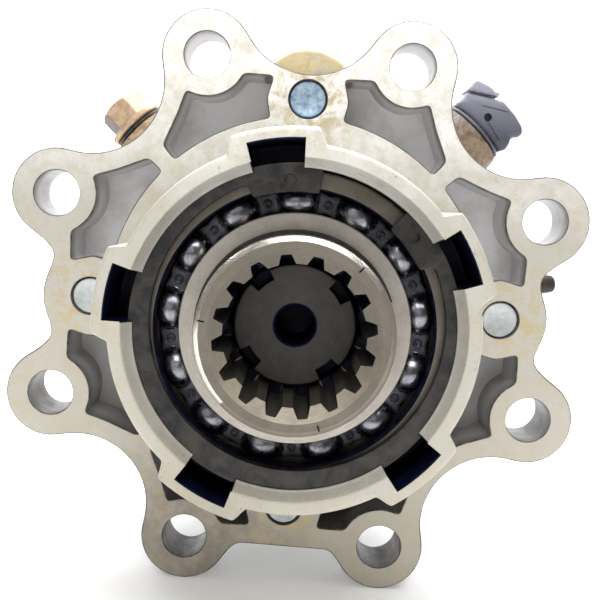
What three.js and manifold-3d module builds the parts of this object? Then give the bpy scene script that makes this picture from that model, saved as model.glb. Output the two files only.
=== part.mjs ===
// Planetary gear set in a cast bell housing with an eight-lobed mounting flange, in millimetres, +Z up.
// The gear axis lies along Y. The flange's front face is the plane y = 0 and the open front looks along -Y.
// Inside the "train" group the axis is local z, forward is local +z and up is local +y.
import * as THREE from "three";
import { mergeVertices } from "three/addons/utils/BufferGeometryUtils.js";
import Module from "manifold-3d";

const wasm = await Module();
wasm.setup();

// Mounting flange
const BOLT_CIRCLE_R = 90;
const LOBES = 8;
const LOBE_R = 15.3;
const BOLT_HOLE_R = 7.7;
const VALLEY_R = 78.8;
const VALLEY_ARC_R = 24.5;
const FLANGE_THICKNESS = 20;
const WINDOW_INNER_R = 65;
const WINDOW_DEPTH = 30;
const WEB_BACK = -36;

// Blind plugs in the webs between the lobes
const PLUG_CIRCLE_R = 70.6;
const PLUG_R = 6.1;
const PLUG_RECESS_R = 6.5;
const PLUG_DEPTH = 12;
const BOSS_R = 17;

// Bell housing
const WEB_R = 84;
const WALL_R = 67;
const CAVITY_R = 59.5;
const REAR_FACE = -71.7;
const REAR_FLANGE_FRONT = -60;
const EAR_CIRCLE_R = 75.5;
const EAR_R = 8.5;
const COVER_BOLTS = 8;
const COVER_BOLT_R = 4;

// Front rim
const RIM_R = 51.8;
const RIM_FRONT = 61;
const NOTCHES = 5;
const NOTCH_FIRST_DEG = 26.8;
const NOTCH_HALF_DEG = 8.75;
const NOTCH_R = 52.7;
const NOTCH_FLOOR = 41;
const BULGE_R = 56.2;

// Front ball bearing, 55 x 90 x 18
const BEARING_BORE_R = 27.5;
const BEARING_R = 45;
const BEARING_FRONT = 54;
const BEARING_WIDTH = 18;
const INNER_LAND_R = 33;
const OUTER_LAND_R = 39.7;
const BALLS = 13;
const BALL_R = 5.15;
const BALL_PITCH_R = 36.25;
const BALL_FIRST_DEG = 8.9;
const BALL_Z = BEARING_FRONT - BEARING_WIDTH / 2;

// Gears: fixed ring, driven sun, four planets
const MODULE = 1.8;
const SUN_TEETH = 32;
const PLANET_TEETH = 14;
const RING_TEETH = 60;
const PLANETS = 4;
const GEAR_FRONT = -15;
const GEAR_WIDTH = 26;
const PLANET_ORBIT_R = (MODULE * (SUN_TEETH + PLANET_TEETH)) / 2;
const PIN_R = 4.6;

// Input hub and main shaft
const HUB_FRONT = 70;
const HUB_R = 27.2;
const SPLINE_SPACES = 16;
const SPLINE_ROOT_R = 22.1;
const SPLINE_TIP_R = 19.4;
const SPLINE_FIRST_DEG = 9;
const SHAFT_R = 18.3;
const SHAFT_FRONT = 43.8;
const SHAFT_REAR = -106;

const GAP = 0.3;
const TURN = 2 * Math.PI;
const SHARP = 0.7;
const rad = (deg) => (deg * Math.PI) / 180;
const at = (r, deg) => new THREE.Vector2(r * Math.cos(rad(deg)), r * Math.sin(rad(deg)));

const train = new THREE.Group();
train.rotation.x = Math.PI / 2;

const finish = {
  casting: { color: 0xcfcbc0, roughness: 0.6, metalness: 0.7 },
  steel: { color: 0x8d8880, roughness: 0.35, metalness: 1 },
  darkSteel: { color: 0x4a4744, roughness: 0.45, metalness: 1 },
  ball: { color: 0xb5b5b8, roughness: 0.12, metalness: 1 },
  zinc: { color: 0x9fb4c6, roughness: 0.4, metalness: 0.9 },
  copper: { color: 0xb98a63, roughness: 0.5, metalness: 0.8 },
  bronze: { color: 0xb08d4f, roughness: 0.45, metalness: 0.9 },
  plastic: { color: 0x2a2d36, roughness: 0.5, metalness: 0 },
  rubber: { color: 0x1c1c1c, roughness: 0.8, metalness: 0 },
};

// ---------- solids ----------

// A closed geometry as a manifold-3d solid.
function solid(geometry) {
  const bare = new THREE.BufferGeometry();
  const flat = geometry.index ? geometry.toNonIndexed() : geometry;
  bare.setAttribute("position", flat.getAttribute("position"));
  const merged = mergeVertices(bare, 1e-4);
  const corners = merged.index.array;
  const kept = [];
  for (let i = 0; i < corners.length; i += 3) {
    const [a, b, c] = [corners[i], corners[i + 1], corners[i + 2]];
    if (a !== b && b !== c && c !== a) kept.push(a, b, c);
  }
  const vertProperties = merged.attributes.position.array;
  const triVerts = new Uint32Array(kept);
  return new wasm.Manifold(new wasm.Mesh({ numProp: 3, vertProperties, triVerts }));
}

// A manifold-3d solid as a geometry.
function geometryOf(body) {
  const mesh = body.getMesh();
  const positions = new Float32Array(mesh.numVert * 3);
  for (let i = 0; i < mesh.numVert; i++) {
    const first = i * mesh.numProp;
    positions.set(mesh.vertProperties.subarray(first, first + 3), i * 3);
  }
  const geometry = new THREE.BufferGeometry();
  geometry.setAttribute("position", new THREE.BufferAttribute(positions, 3));
  geometry.setIndex(new THREE.BufferAttribute(new Uint32Array(mesh.triVerts), 1));
  geometry.computeVertexNormals();
  return geometry;
}

// A solid of revolution about z from a closed outline of [radius, z] pairs.
function turned(outline, segments = 36) {
  const points = outline.map(([r, z]) => new THREE.Vector2(r, z));
  if (THREE.ShapeUtils.isClockWise(points)) points.reverse();
  points.push(points[0].clone());
  return solid(new THREE.LatheGeometry(points, segments).rotateX(Math.PI / 2));
}

// A straight extrusion of an outline, from z = back to z = front.
function slab(points, back, front, holes = []) {
  const shape = new THREE.Shape(points);
  shape.holes = holes.map((hole) => new THREE.Path(hole));
  const options = { depth: front - back, bevelEnabled: false };
  return solid(new THREE.ExtrudeGeometry(shape, options).translate(0, 0, back));
}

function circle(r, segments, centre = new THREE.Vector2()) {
  const step = 360 / segments;
  return Array.from({ length: segments }, (_, i) => at(r, i * step).add(centre));
}

function disc(r, back, front, segments = 24, centre = new THREE.Vector2()) {
  return slab(circle(r, segments, centre), back, front);
}

// The arc from one angle to another, both ends included.
function arc(r, fromDeg, toDeg, steps, centre = new THREE.Vector2()) {
  const step = (toDeg - fromDeg) / steps;
  return Array.from({ length: steps + 1 }, (_, i) => at(r, fromDeg + i * step).add(centre));
}

// A sector of a ring between two radii, as a closed outline.
function sector(innerR, outerR, middleDeg, halfDeg, steps = 4) {
  const outer = arc(outerR, middleDeg - halfDeg, middleDeg + halfDeg, steps);
  const inner = arc(innerR, middleDeg + halfDeg, middleDeg - halfDeg, steps);
  return [...outer, ...inner];
}

// The outline with each sharp corner cut back by size and turned in two steps.
function softened(points, size) {
  const out = [];
  points.forEach((corner, i) => {
    const before = points[(i + points.length - 1) % points.length];
    const after = points[(i + 1) % points.length];
    const bend = corner.clone().sub(before).angleTo(after.clone().sub(corner));
    if (bend < SHARP) {
      out.push(corner);
      return;
    }
    const cut = Math.min(size, corner.distanceTo(before) / 2.2, corner.distanceTo(after) / 2.2);
    const start = corner.clone().add(before.clone().sub(corner).setLength(cut));
    const end = corner.clone().add(after.clone().sub(corner).setLength(cut));
    const middle = corner.clone().multiplyScalar(0.5).add(start.clone().add(end).multiplyScalar(0.25));
    out.push(start, middle, end);
  });
  return out;
}

// A solid made along z and then laid along a radius of the train, at an angle and a place on the axis.
function radial(geometry, deg, z) {
  return solid(
    geometry
      .rotateY(Math.PI / 2)
      .rotateZ(rad(deg))
      .translate(0, 0, z),
  );
}

function rod(r, from, to, segments = 20) {
  const length = to - from;
  return new THREE.CylinderGeometry(r, r, length, segments)
    .rotateX(Math.PI / 2)
    .translate(0, 0, from + length / 2);
}

function add(name, body, look, parent = train) {
  const mesh = new THREE.Mesh(geometryOf(body), new THREE.MeshStandardMaterial(finish[look]));
  mesh.name = name;
  parent.add(mesh);
  return mesh;
}

const sum = (first, ...rest) => rest.reduce((whole, part) => whole.add(part), first);
const less = (first, ...rest) => rest.reduce((whole, part) => whole.subtract(part), first);
const count = (n, make) => Array.from({ length: n }, (_, i) => make(i));

// ---------- housing ----------

const lobeDeg = (i) => 22.5 + (i * 360) / LOBES;

// Eight round lobes joined by hollow arcs.
function flangeOutline() {
  const half = 180 / LOBES;
  const out = [];
  for (let i = 0; i < LOBES; i++) {
    const lobe = at(BOLT_CIRCLE_R, lobeDeg(i));
    const valley = at(VALLEY_R + VALLEY_ARC_R, lobeDeg(i) + half);
    const towards = valley.clone().sub(lobe);
    const turnDeg = THREE.MathUtils.radToDeg(towards.angle()) - lobeDeg(i);
    const open = ((turnDeg % 360) + 360) % 360;
    out.push(...arc(LOBE_R, lobeDeg(i) - open, lobeDeg(i) + open, 9, lobe));
    const sweep = 180 - 2 * (open - half);
    const facing = lobeDeg(i) + half + 180;
    const hollow = arc(VALLEY_ARC_R, facing + sweep / 2, facing - sweep / 2, 5, valley);
    out.push(...hollow.slice(1, -1));
  }
  return out;
}

// The window beside a bolt hole. Its narrow side is the plug's web and its long side the plain web.
function windowOutline(i) {
  const holeDeg = lobeDeg(i);
  const side = i % 2 === 0 ? 1 : -1;
  const p = (r, deg) => at(r, holeDeg + side * deg);
  const hole = at(BOLT_CIRCLE_R, holeDeg);
  const aroundHole = [-44, -15, 18, 50].map((deg) =>
    at(13.7, holeDeg + 180 - side * deg).add(hole),
  );
  const inner = [19.8, 9, -1, -11.4].map((deg) => p(WINDOW_INNER_R, deg));
  const corners = [...inner, p(71.5, -11.2), p(78.4, -13.7), ...aroundHole, p(76.4, 12.1), p(71, 19.7)];
  return softened(side > 0 ? corners.reverse() : corners, 1.7);
}

function bulge(deg) {
  const edge = [[-16.5, 50.5], [-15, 52.3], [-13.4, 55.2], [-12, BULGE_R]];
  const outline = [
    ...edge.map(([d, r]) => at(r, deg + d)),
    ...arc(BULGE_R, deg - 6, deg + 6, 2),
    ...edge.reverse().map(([d, r]) => at(r, deg - d)),
  ];
  return slab(outline, -2, RIM_FRONT);
}

const plugCentre = (i) => at(PLUG_CIRCLE_R, i * 90);
const SIDE_BOSS_Z = -38;
const DRAIN_DEG = 136;
const SENSOR_DEG = 46.5;
const BREATHER_DEG = 7;
const BREATHER_Z = -28;
const BOSS_END = 86;
const SENSOR_BOSS_END = 91;
const BOSS_BORE_R = 6.3;

function housing() {
  const bell = turned([
    [0, REAR_FACE], [WALL_R, REAR_FACE], [WALL_R, WEB_BACK], [WEB_R, WEB_BACK],
    [WEB_R, -19], [RIM_R, -19], [RIM_R, RIM_FRONT], [0, RIM_FRONT],
  ]);
  const flange = slab(flangeOutline(), -FLANGE_THICKNESS, 0);
  const bosses = count(3, (i) => disc(BOSS_R, -FLANGE_THICKNESS, i === 0 ? 0 : -3, 20, plugCentre(i)));
  const footOutline = [at(60, 265), at(86, 260.5), at(85.5, 276.5), at(60, 275)];
  const foot = slab(footOutline, -FLANGE_THICKNESS, 0);
  const bulges = count(NOTCHES, (i) => bulge(NOTCH_FIRST_DEG + i * 72));
  const ears = count(COVER_BOLTS, (i) =>
    disc(EAR_R, REAR_FACE, REAR_FLANGE_FRONT, 10, at(EAR_CIRCLE_R, (i * 360) / COVER_BOLTS)),
  );
  const rearFlange = disc(EAR_CIRCLE_R, REAR_FACE, REAR_FLANGE_FRONT, 40);
  const ribs = count(LOBES, (i) => slab(sector(WALL_R - 3, 76, lobeDeg(i), 2, 1), REAR_FLANGE_FRONT - 2, -34));
  const drainBoss = radial(rod(12, 62, BOSS_END, 24), DRAIN_DEG, SIDE_BOSS_Z);
  const sensorBoss = radial(rod(13.5, 62, SENSOR_BOSS_END, 24), SENSOR_DEG, SIDE_BOSS_Z);
  const outside = sum(bell, flange, ...bosses, foot, ...bulges, rearFlange, ...ears, ...ribs, drainBoss, sensorBoss);

  const cavity = turned([
    [0, 62], [48.7, 62], [46, 57.9], [45.3, 57.9], [45.3, 57.5], [47, 57.5], [47, 54.1],
    [45.3, 54.1], [45.3, BEARING_FRONT - BEARING_WIDTH - GAP], [41, BEARING_FRONT - BEARING_WIDTH - GAP],
    [41, 30], [43, 28], [43, -4], [CAVITY_R, -4], [CAVITY_R, REAR_FACE - 1], [0, REAR_FACE - 1],
  ]);
  const bolts = count(LOBES, (i) => disc(BOLT_HOLE_R, -40, 1, 16, at(BOLT_CIRCLE_R, lobeDeg(i))));
  const windows = count(LOBES, (i) => slab(windowOutline(i), -WINDOW_DEPTH, 1));
  const opening = slab(sector(69, 92, 324.5, 6.5, 1), -40, -WINDOW_DEPTH + 10);
  const recesses = count(4, (i) => disc(PLUG_RECESS_R, -PLUG_DEPTH, 1, 14, plugCentre(i)));
  const notches = count(NOTCHES, (i) =>
    slab(sector(40, NOTCH_R, NOTCH_FIRST_DEG + i * 72, NOTCH_HALF_DEG, 3), NOTCH_FLOOR, 62),
  );
  const coverHoles = count(COVER_BOLTS, (i) =>
    disc(COVER_BOLT_R + GAP, REAR_FACE - 1, REAR_FLANGE_FRONT + 1, 8, at(EAR_CIRCLE_R, (i * 360) / COVER_BOLTS)),
  );
  const drainBore = radial(rod(BOSS_BORE_R, 55, 95, 16), DRAIN_DEG, SIDE_BOSS_Z);
  const sensorBore = radial(rod(BOSS_BORE_R, 55, 95, 16), SENSOR_DEG, SIDE_BOSS_Z);
  const cuts = [cavity, ...bolts, ...windows, opening, ...recesses, ...notches, ...coverHoles];
  add("housing", less(outside, ...cuts, drainBore, sensorBore), "casting");
}

function blindPlugs() {
  ["right", "top", "left", "bottom"].forEach((side, i) =>
    add("blind_plug_" + side, disc(PLUG_R, -PLUG_DEPTH + GAP, -1, 14, plugCentre(i)), "zinc"),
  );
}

function drainPlug() {
  const washerEnd = BOSS_END + GAP + 1.5;
  const washer = new THREE.Shape(circle(10, 24));
  washer.holes = [new THREE.Path(circle(BOSS_BORE_R, 16))];
  const ring = new THREE.ExtrudeGeometry(washer, { depth: 1.5, bevelEnabled: false });
  add("drain_plug_washer", radial(ring.translate(0, 0, BOSS_END + GAP), DRAIN_DEG, SIDE_BOSS_Z), "copper");
  const shank = radial(rod(BOSS_BORE_R - GAP, 66, washerEnd + 1, 16), DRAIN_DEG, SIDE_BOSS_Z);
  const collar = radial(rod(10.8, washerEnd + GAP, washerEnd + 3, 24), DRAIN_DEG, SIDE_BOSS_Z);
  const head = radial(rod(8.4, washerEnd + 2, 99, 6), DRAIN_DEG, SIDE_BOSS_Z);
  add("drain_plug", sum(collar, shank, head), "copper");
}

// The speed sensor looks in at the ring gear's carrier through its boss.
function speedSensor() {
  const seat = SENSOR_BOSS_END + GAP;
  const nose = radial(rod(BOSS_BORE_R - GAP, 63, seat + 1, 16), SENSOR_DEG, SIDE_BOSS_Z);
  const collar = radial(rod(12.6, seat, seat + 1.2, 24), SENSOR_DEG, SIDE_BOSS_Z);
  add("sensor_body", sum(nose, collar), "plastic");
  const start = seat + 1.2 + GAP;
  const outline = [
    [-10.5, start], [-8.6, 99.5], [-11.5, 103], [-11.5, 107], [4, 107.3], [4.5, 106.2], [14.6, 106.2],
    [14.6, 99.6], [12.4, 98.8], [12.4, start],
  ];
  const points = outline.map(([across, along]) => new THREE.Vector2(along, across));
  const connector = slab(points, SIDE_BOSS_Z - 10, SIDE_BOSS_Z + 9);
  add("sensor_connector", connector.rotate([0, 0, SENSOR_DEG]), "plastic");
}

// A small capped breather in the edge of the web, behind the flange.
function breather() {
  const stem = radial(rod(2.2, WEB_R + GAP, 92, 12), BREATHER_DEG, BREATHER_Z);
  const cap = radial(rod(3.4, 88, 97, 16), BREATHER_DEG, BREATHER_Z);
  add("breather_cap", sum(stem, cap), "rubber");
}

function rearCover() {
  const face = REAR_FACE - GAP;
  const cover = turned([
    [24.3, -53.3], [31, -53.3], [31, face], [EAR_CIRCLE_R, face], [EAR_CIRCLE_R, face - 9],
    [62, face - 9], [40, face - 15], [34, face - 24], [24.3, face - 24],
  ]);
  const ears = count(COVER_BOLTS, (i) => disc(EAR_R, face - 9, face, 10, at(EAR_CIRCLE_R, (i * 360) / COVER_BOLTS)));
  const holes = count(COVER_BOLTS, (i) =>
    disc(COVER_BOLT_R + GAP, face - 11, face + 1, 8, at(EAR_CIRCLE_R, (i * 360) / COVER_BOLTS)),
  );
  add("rear_cover", less(sum(cover, ...ears), ...holes), "casting");
  for (let i = 0; i < COVER_BOLTS; i++) {
    const centre = at(EAR_CIRCLE_R, (i * 360) / COVER_BOLTS);
    const bolt = sum(
      disc(COVER_BOLT_R, face - 10, REAR_FLANGE_FRONT - 0.5, 8, centre),
      disc(7.2, face - 15, face - 9 - GAP, 6, centre),
    );
    add("cover_bolt_" + (i + 1), bolt, "zinc");
  }
}

// ---------- front bearing ----------

function bearingRings() {
  const back = BEARING_FRONT - BEARING_WIDTH;
  const grooveR = BALL_R + 0.65;
  const grooveDeg = [-40, 0, 40];
  const outerGroove = grooveDeg.map((d) => [
    BALL_PITCH_R + grooveR * Math.cos(rad(d)),
    BALL_Z + grooveR * Math.sin(rad(d)),
  ]);
  const innerGroove = grooveDeg.map((d) => [
    BALL_PITCH_R - grooveR * Math.cos(rad(d)),
    BALL_Z + grooveR * Math.sin(rad(d)),
  ]);
  const outer = [[OUTER_LAND_R, back], ...outerGroove, [OUTER_LAND_R, BEARING_FRONT]];
  add("bearing_outer_ring", turned([...outer, [BEARING_R, BEARING_FRONT], [BEARING_R, back]]), "steel");
  const inner = [[INNER_LAND_R, back], ...innerGroove, [INNER_LAND_R, BEARING_FRONT]];
  add("bearing_inner_ring", turned([...inner, [BEARING_BORE_R, BEARING_FRONT], [BEARING_BORE_R, back]]), "steel");
}

function balls() {
  for (let i = 0; i < BALLS; i++) {
    const centre = at(BALL_PITCH_R, BALL_FIRST_DEG + (i * 360) / BALLS);
    const ball = new THREE.SphereGeometry(BALL_R, 8, 6).translate(centre.x, centre.y, BALL_Z);
    add("ball_" + String(i + 1).padStart(2, "0"), solid(ball), "ball");
  }
}

// Half of the riveted cage: a ribbon that arches over each ball and lies flat between the balls.
function cage(name, forward) {
  const innerR = BALL_PITCH_R - 2.5;
  const outerR = BALL_PITCH_R + 2.5;
  const thickness = 0.9;
  const archR = BALL_R + 0.4;
  const pitch = (TURN * BALL_PITCH_R) / BALLS;
  const padEnd = archR + thickness + 0.1;
  const archDeg = [12, 50, 90, 130, 168];
  const route = [[-pitch / 2, 0.2, 0.2 + thickness], [-padEnd, 0.2, 0.2 + thickness]];
  for (const deg of archDeg) {
    const across = -Math.cos(rad(deg));
    const rise = Math.sin(rad(deg));
    route.push([across * (archR + thickness / 2), archR * rise, (archR + thickness) * rise]);
  }
  route.push([padEnd, 0.2, 0.2 + thickness]);
  const rings = [];
  for (let ball = 0; ball < BALLS; ball++) {
    const middle = rad(BALL_FIRST_DEG) + (ball * TURN) / BALLS;
    for (const [across, low, high] of route) {
      const angle = middle + across / BALL_PITCH_R;
      const [x, y] = [Math.cos(angle), Math.sin(angle)];
      const [near, far] = [BALL_Z + forward * low, BALL_Z + forward * high];
      rings.push([[innerR * x, innerR * y, near], [outerR * x, outerR * y, near],
        [outerR * x, outerR * y, far], [innerR * x, innerR * y, far]]);
    }
  }
  const corners = [];
  rings.forEach((ring, i) => {
    const next = rings[(i + 1) % rings.length];
    for (let k = 0; k < 4; k++) {
      const quad = [ring[k], ring[(k + 1) % 4], next[(k + 1) % 4], next[k]];
      if (forward < 0) quad.reverse();
      corners.push(quad[0], quad[2], quad[1], quad[0], quad[3], quad[2]);
    }
  });
  const geometry = new THREE.BufferGeometry();
  geometry.setAttribute("position", new THREE.BufferAttribute(new Float32Array(corners.flat()), 3));
  add(name, solid(geometry), "darkSteel");
}

// An internal circlip with a lug at each end, widest opposite its gap.
function retainingRing() {
  const gapDeg = 66.9;
  const lugDeg = [41.8, 94.9];
  const lugInnerR = 38.6;
  const groove = 46.7;
  const bodyR = (deg) => 41.4 + 1.7 * Math.cos(rad(deg - gapDeg));
  const long = arc(groove, 83.4, 410.4, 32);
  const innerStart = 388.4;
  const innerEnd = 111.4;
  const inner = count(25, (i) => {
    const deg = innerStart + ((innerEnd - innerStart) * i) / 24;
    return at(bodyR(deg), deg);
  });
  const firstLug = arc(lugInnerR, 410.4, 389.4, 3);
  const lastLug = arc(lugInnerR, 110.4, 83.4, 3);
  const outline = [...long, ...firstLug, ...inner, ...lastLug];
  const holes = lugDeg.map((deg) => circle(1.6, 8, at(42, deg)));
  add("retaining_ring", slab(outline, BEARING_FRONT + GAP, BEARING_FRONT + 3.1, holes), "darkSteel");
}

// ---------- gears ----------

// A gear outline in the xy plane with a tooth centred on angle 0. An internal gear has its tips inwards.
function gearOutline(teeth, internal = false) {
  const pitchR = (MODULE * teeth) / 2;
  const sign = internal ? -1 : 1;
  const tipR = pitchR + sign * MODULE * 0.92;
  const rootR = pitchR - sign * MODULE * 1.2;
  const pitchAngle = 360 / teeth;
  const half = pitchAngle / 4 - THREE.MathUtils.radToDeg(0.12 / pitchR);
  const lean = THREE.MathUtils.radToDeg((MODULE * 0.92 * Math.tan(rad(20))) / pitchR);
  const out = [];
  for (let i = 0; i < teeth; i++) {
    const middle = i * pitchAngle;
    out.push(at(rootR, middle - half - lean * 1.2), at(tipR, middle - half + lean));
    out.push(at(tipR, middle + half - lean), at(rootR, middle + half + lean * 1.2));
  }
  return out;
}

function ringGear() {
  const outline = circle(CAVITY_R - GAP, 40);
  add("ring_gear", slab(outline, GEAR_FRONT - GEAR_WIDTH - 2, GEAR_FRONT + 2, [gearOutline(RING_TEETH, true)]), "steel");
}

const planetDeg = (i) => (i * 360) / PLANETS;

// A planet is turned so that its teeth are in mesh with the sun and the ring at rest.
function meshTurn(i) {
  const sunTurn = (rad(planetDeg(i)) * SUN_TEETH) / TURN;
  return rad(planetDeg(i)) - (TURN / PLANET_TEETH) * (0.5 - sunTurn);
}

function planets() {
  for (let i = 0; i < PLANETS; i++) {
    const axle = new THREE.Group();
    const centre = at(PLANET_ORBIT_R, planetDeg(i));
    axle.position.set(centre.x, centre.y, 0);
    axle.rotation.z = meshTurn(i);
    train.add(axle);
    const back = GEAR_FRONT - GEAR_WIDTH;
    const gear = slab(gearOutline(PLANET_TEETH), back, GEAR_FRONT, [circle(PIN_R + 2.3, 12)]);
    add("planet_gear_" + (i + 1), gear, "steel", axle);
    const bush = slab(circle(PIN_R + 2, 12), back, GEAR_FRONT, [circle(PIN_R + 0.4, 12)]);
    add("planet_bush_" + (i + 1), bush, "bronze", axle);
  }
}

function carrier() {
  const plate = { front: [GEAR_FRONT + 8, GEAR_FRONT + 1.5], rear: [GEAR_FRONT - GEAR_WIDTH - 2.5, -51] };
  const pinHoles = (back, front) =>
    count(PLANETS, (i) => disc(PIN_R + GAP, back - 1, front + 1, 10, at(PLANET_ORBIT_R, planetDeg(i))));
  const postDeg = (i) => planetDeg(i) + 45;
  const posts = count(PLANETS, (i) =>
    slab(sector(33.5, 50, postDeg(i), 9, 2), plate.rear[0] - 1, plate.front[1] - GAP),
  );
  const rear = disc(51, plate.rear[1], plate.rear[0], 32);
  const bore = disc(SHAFT_R + GAP, -60, -40, 24);
  const [rearHoles, frontHoles] = [pinHoles(-52, -42), pinHoles(-15, -6)];
  add("carrier_rear_plate", less(sum(rear, ...posts), bore, ...rearHoles), "steel");
  const front = slab(circle(51, 32), plate.front[1], plate.front[0], [circle(28.5, 24)]);
  add("carrier_front_plate", less(front, ...frontHoles), "steel");
  for (let i = 0; i < PLANETS; i++) {
    const pin = disc(PIN_R, -50.8, GEAR_FRONT + 7.8, 10, at(PLANET_ORBIT_R, planetDeg(i)));
    add("planet_pin_" + (i + 1), pin, "darkSteel");
  }
}

// ---------- shafts ----------

function splineOutline() {
  const pitch = 360 / SPLINE_SPACES;
  const out = [];
  for (let i = 0; i < SPLINE_SPACES; i++) {
    const middle = SPLINE_FIRST_DEG + i * pitch;
    out.push(at(SPLINE_TIP_R, middle - 7), at(SPLINE_ROOT_R, middle - 3.9));
    out.push(at(SPLINE_ROOT_R, middle + 3.9), at(SPLINE_TIP_R, middle + 7));
  }
  return out;
}

function inputHub() {
  const seat = BEARING_FRONT - BEARING_WIDTH - GAP;
  const gearBack = GEAR_FRONT - GEAR_WIDTH;
  const blank = turned([
    [0, gearBack], [25.5, gearBack], [25.5, 29], [31, 30], [31, seat],
    [HUB_R, seat], [HUB_R, HUB_FRONT - 2], [HUB_R - 2, HUB_FRONT], [0, HUB_FRONT],
  ], 32);
  const sun = slab(gearOutline(SUN_TEETH), gearBack, GEAR_FRONT);
  const socket = slab(splineOutline(), 38, HUB_FRONT + 1);
  const bore = disc(SHAFT_R + 1, gearBack - 1, 39, 24);
  const circlipGroove = turned([[HUB_R - 1.4, 54.6], [HUB_R + 2, 54.6], [HUB_R + 2, 56.9], [HUB_R - 1.4, 56.9]], 32);
  add("input_hub", less(sum(blank, sun), socket, bore, circlipGroove), "steel");
  const clip = arc(HUB_R + 1.6, 20, 340, 20);
  const inside = arc(HUB_R - 1.1, 340, 20, 20);
  add("hub_circlip", slab([...clip, ...inside], 54.9, 56.6), "darkSteel");
}

function mainShaft() {
  const shaft = turned([
    [0, SHAFT_REAR], [14.5, SHAFT_REAR], [16, SHAFT_REAR + 1.5], [16, -98], [SHAFT_R, -96],
    [SHAFT_R, SHAFT_FRONT - 0.6], [SHAFT_R - 0.6, SHAFT_FRONT], [0, SHAFT_FRONT],
  ], 32);
  const centre = disc(5.7, SHAFT_FRONT - 22, SHAFT_FRONT + 1, 16);
  const slots = count(4, (i) => slab(sector(14.7, 20, 39 + i * 90, 11.5, 1), SHAFT_FRONT - 7, SHAFT_FRONT + 1));
  add("main_shaft", less(shaft, centre, ...slots), "darkSteel");
}

function rearEnd() {
  const face = REAR_FACE - GAP;
  const bush = turned([[SHAFT_R + GAP, face - 1], [24, face - 1], [24, face - 16], [SHAFT_R + GAP, face - 16]], 32);
  add("rear_bush", bush, "bronze");
  const sealProfile = [[SHAFT_R + GAP, face - 17], [24, face - 17], [24, face - 24], [21, face - 24], [20, face - 20]];
  add("output_seal", turned([...sealProfile, [SHAFT_R + GAP, face - 22]], 32), "rubber");
  const washer = (name, back, innerR) =>
    add(name, slab(circle(26.5, 24), back, back + 1.5, [circle(innerR, 24)]), "bronze");
  washer("rear_thrust_washer", -52.9, SHAFT_R + GAP);
  washer("inner_thrust_washer", -43.1, SHAFT_R + GAP);
}

housing();
blindPlugs();
drainPlug();
speedSensor();
breather();
rearCover();
bearingRings();
balls();
cage("cage_front", 1);
cage("cage_rear", -1);
retainingRing();
ringGear();
planets();
carrier();
inputHub();
mainShaft();
rearEnd();

const part = new THREE.Group();
part.add(train);
export default part;
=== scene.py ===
"""The looks of the planetary gear set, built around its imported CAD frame.

Lengths are in millimetres in the train's own frame until place() turns them into metres in the row frame:
x is right, y is up and z is forward along the gear axis, with z = 0 on the flange's front face.
"""

import math

import bmesh
import bpy
from mathutils import Matrix, Vector
from mathutils.geometry import tessellate_polygon


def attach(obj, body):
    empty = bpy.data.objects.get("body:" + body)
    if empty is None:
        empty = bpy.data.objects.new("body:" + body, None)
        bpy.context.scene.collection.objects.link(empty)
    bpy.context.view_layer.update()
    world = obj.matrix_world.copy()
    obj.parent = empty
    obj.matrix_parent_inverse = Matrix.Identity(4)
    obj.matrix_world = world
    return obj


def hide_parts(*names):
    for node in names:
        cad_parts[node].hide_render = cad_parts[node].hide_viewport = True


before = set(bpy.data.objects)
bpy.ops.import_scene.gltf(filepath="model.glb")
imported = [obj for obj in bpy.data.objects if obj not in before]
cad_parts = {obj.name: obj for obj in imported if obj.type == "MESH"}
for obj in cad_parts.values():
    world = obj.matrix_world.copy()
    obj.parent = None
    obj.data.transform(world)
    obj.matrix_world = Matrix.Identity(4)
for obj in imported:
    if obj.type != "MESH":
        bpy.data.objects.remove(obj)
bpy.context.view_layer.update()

MM = 0.001
TRAIN_TO_ROW = Matrix(((1, 0, 0), (0, 0, -1), (0, 1, 0)))

# ---------- driving sizes ----------

BOLT_CIRCLE_R = 90
LOBES = 8
LOBE_R = 15.3
BOLT_HOLE_R = 7.7
VALLEY_R = 78.8
VALLEY_ARC_R = 24.5
FLANGE_BACK = -20
FLANGE_BORE_R = 48.5
WINDOW_INNER_R = 65
WINDOW_FLOOR = -30
BOLT_BOSS_R = 13.7
PLUG_RECESS_FLOOR = -12
WEB_BACK = -36
WEB_R = 84
WEB_BORE_R = 62
CAVITY_R = 59.5
CAVITY_FRONT = -4
CAVITY_BACK = -30

PLUG_CIRCLE_R = 70.6
RECESS_R = 6.5
BOSS_R = 17

RIM_R = 51.8
RIM_FRONT = 61
BULGE_R = 56.2
NOTCHES = 5
NOTCH_FIRST_DEG = 26.8
NOTCH_HALF_DEG = 8.75
NOTCH_R = 52.7
NOTCH_FLOOR = 41
SEAT_R = 45.3

BEARING_FRONT = 54
BALLS = 13
BALL_R = 5.15
BALL_PITCH_R = 36.25
BALL_FIRST_DEG = 8.9
BALL_Z = 45

HUB_R = 27.2
HUB_FRONT = 70
SPLINE_SPACES = 16
SPLINE_ROOT_R = 22.1
SPLINE_TIP_R = 19.4
SPLINE_FIRST_DEG = 9

SHAFT_R = 18.3
SHAFT_FRONT = 43.8
SHAFT_REAR = -106

EAR_CIRCLE_R = 75.5
EAR_R = 8.5
COVER_BOLTS = 8
SIDE_BOSS_Z = -38
DRAIN_DEG = 136
SENSOR_DEG = 46.5
BREATHER_DEG = 7
BREATHER_Z = -28


def lobe_deg(i):
    return 22.5 + i * 360 / LOBES


def polar(r, deg):
    return r * math.cos(math.radians(deg)), r * math.sin(math.radians(deg))


# ---------- outlines ----------


def arc(r, start, end, steps, centre=(0, 0)):
    """Points from one angle to another, both ends included."""
    found = []
    for i in range(steps + 1):
        x, y = polar(r, start + (end - start) * i / steps)
        found.append((centre[0] + x, centre[1] + y))
    return found


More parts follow.
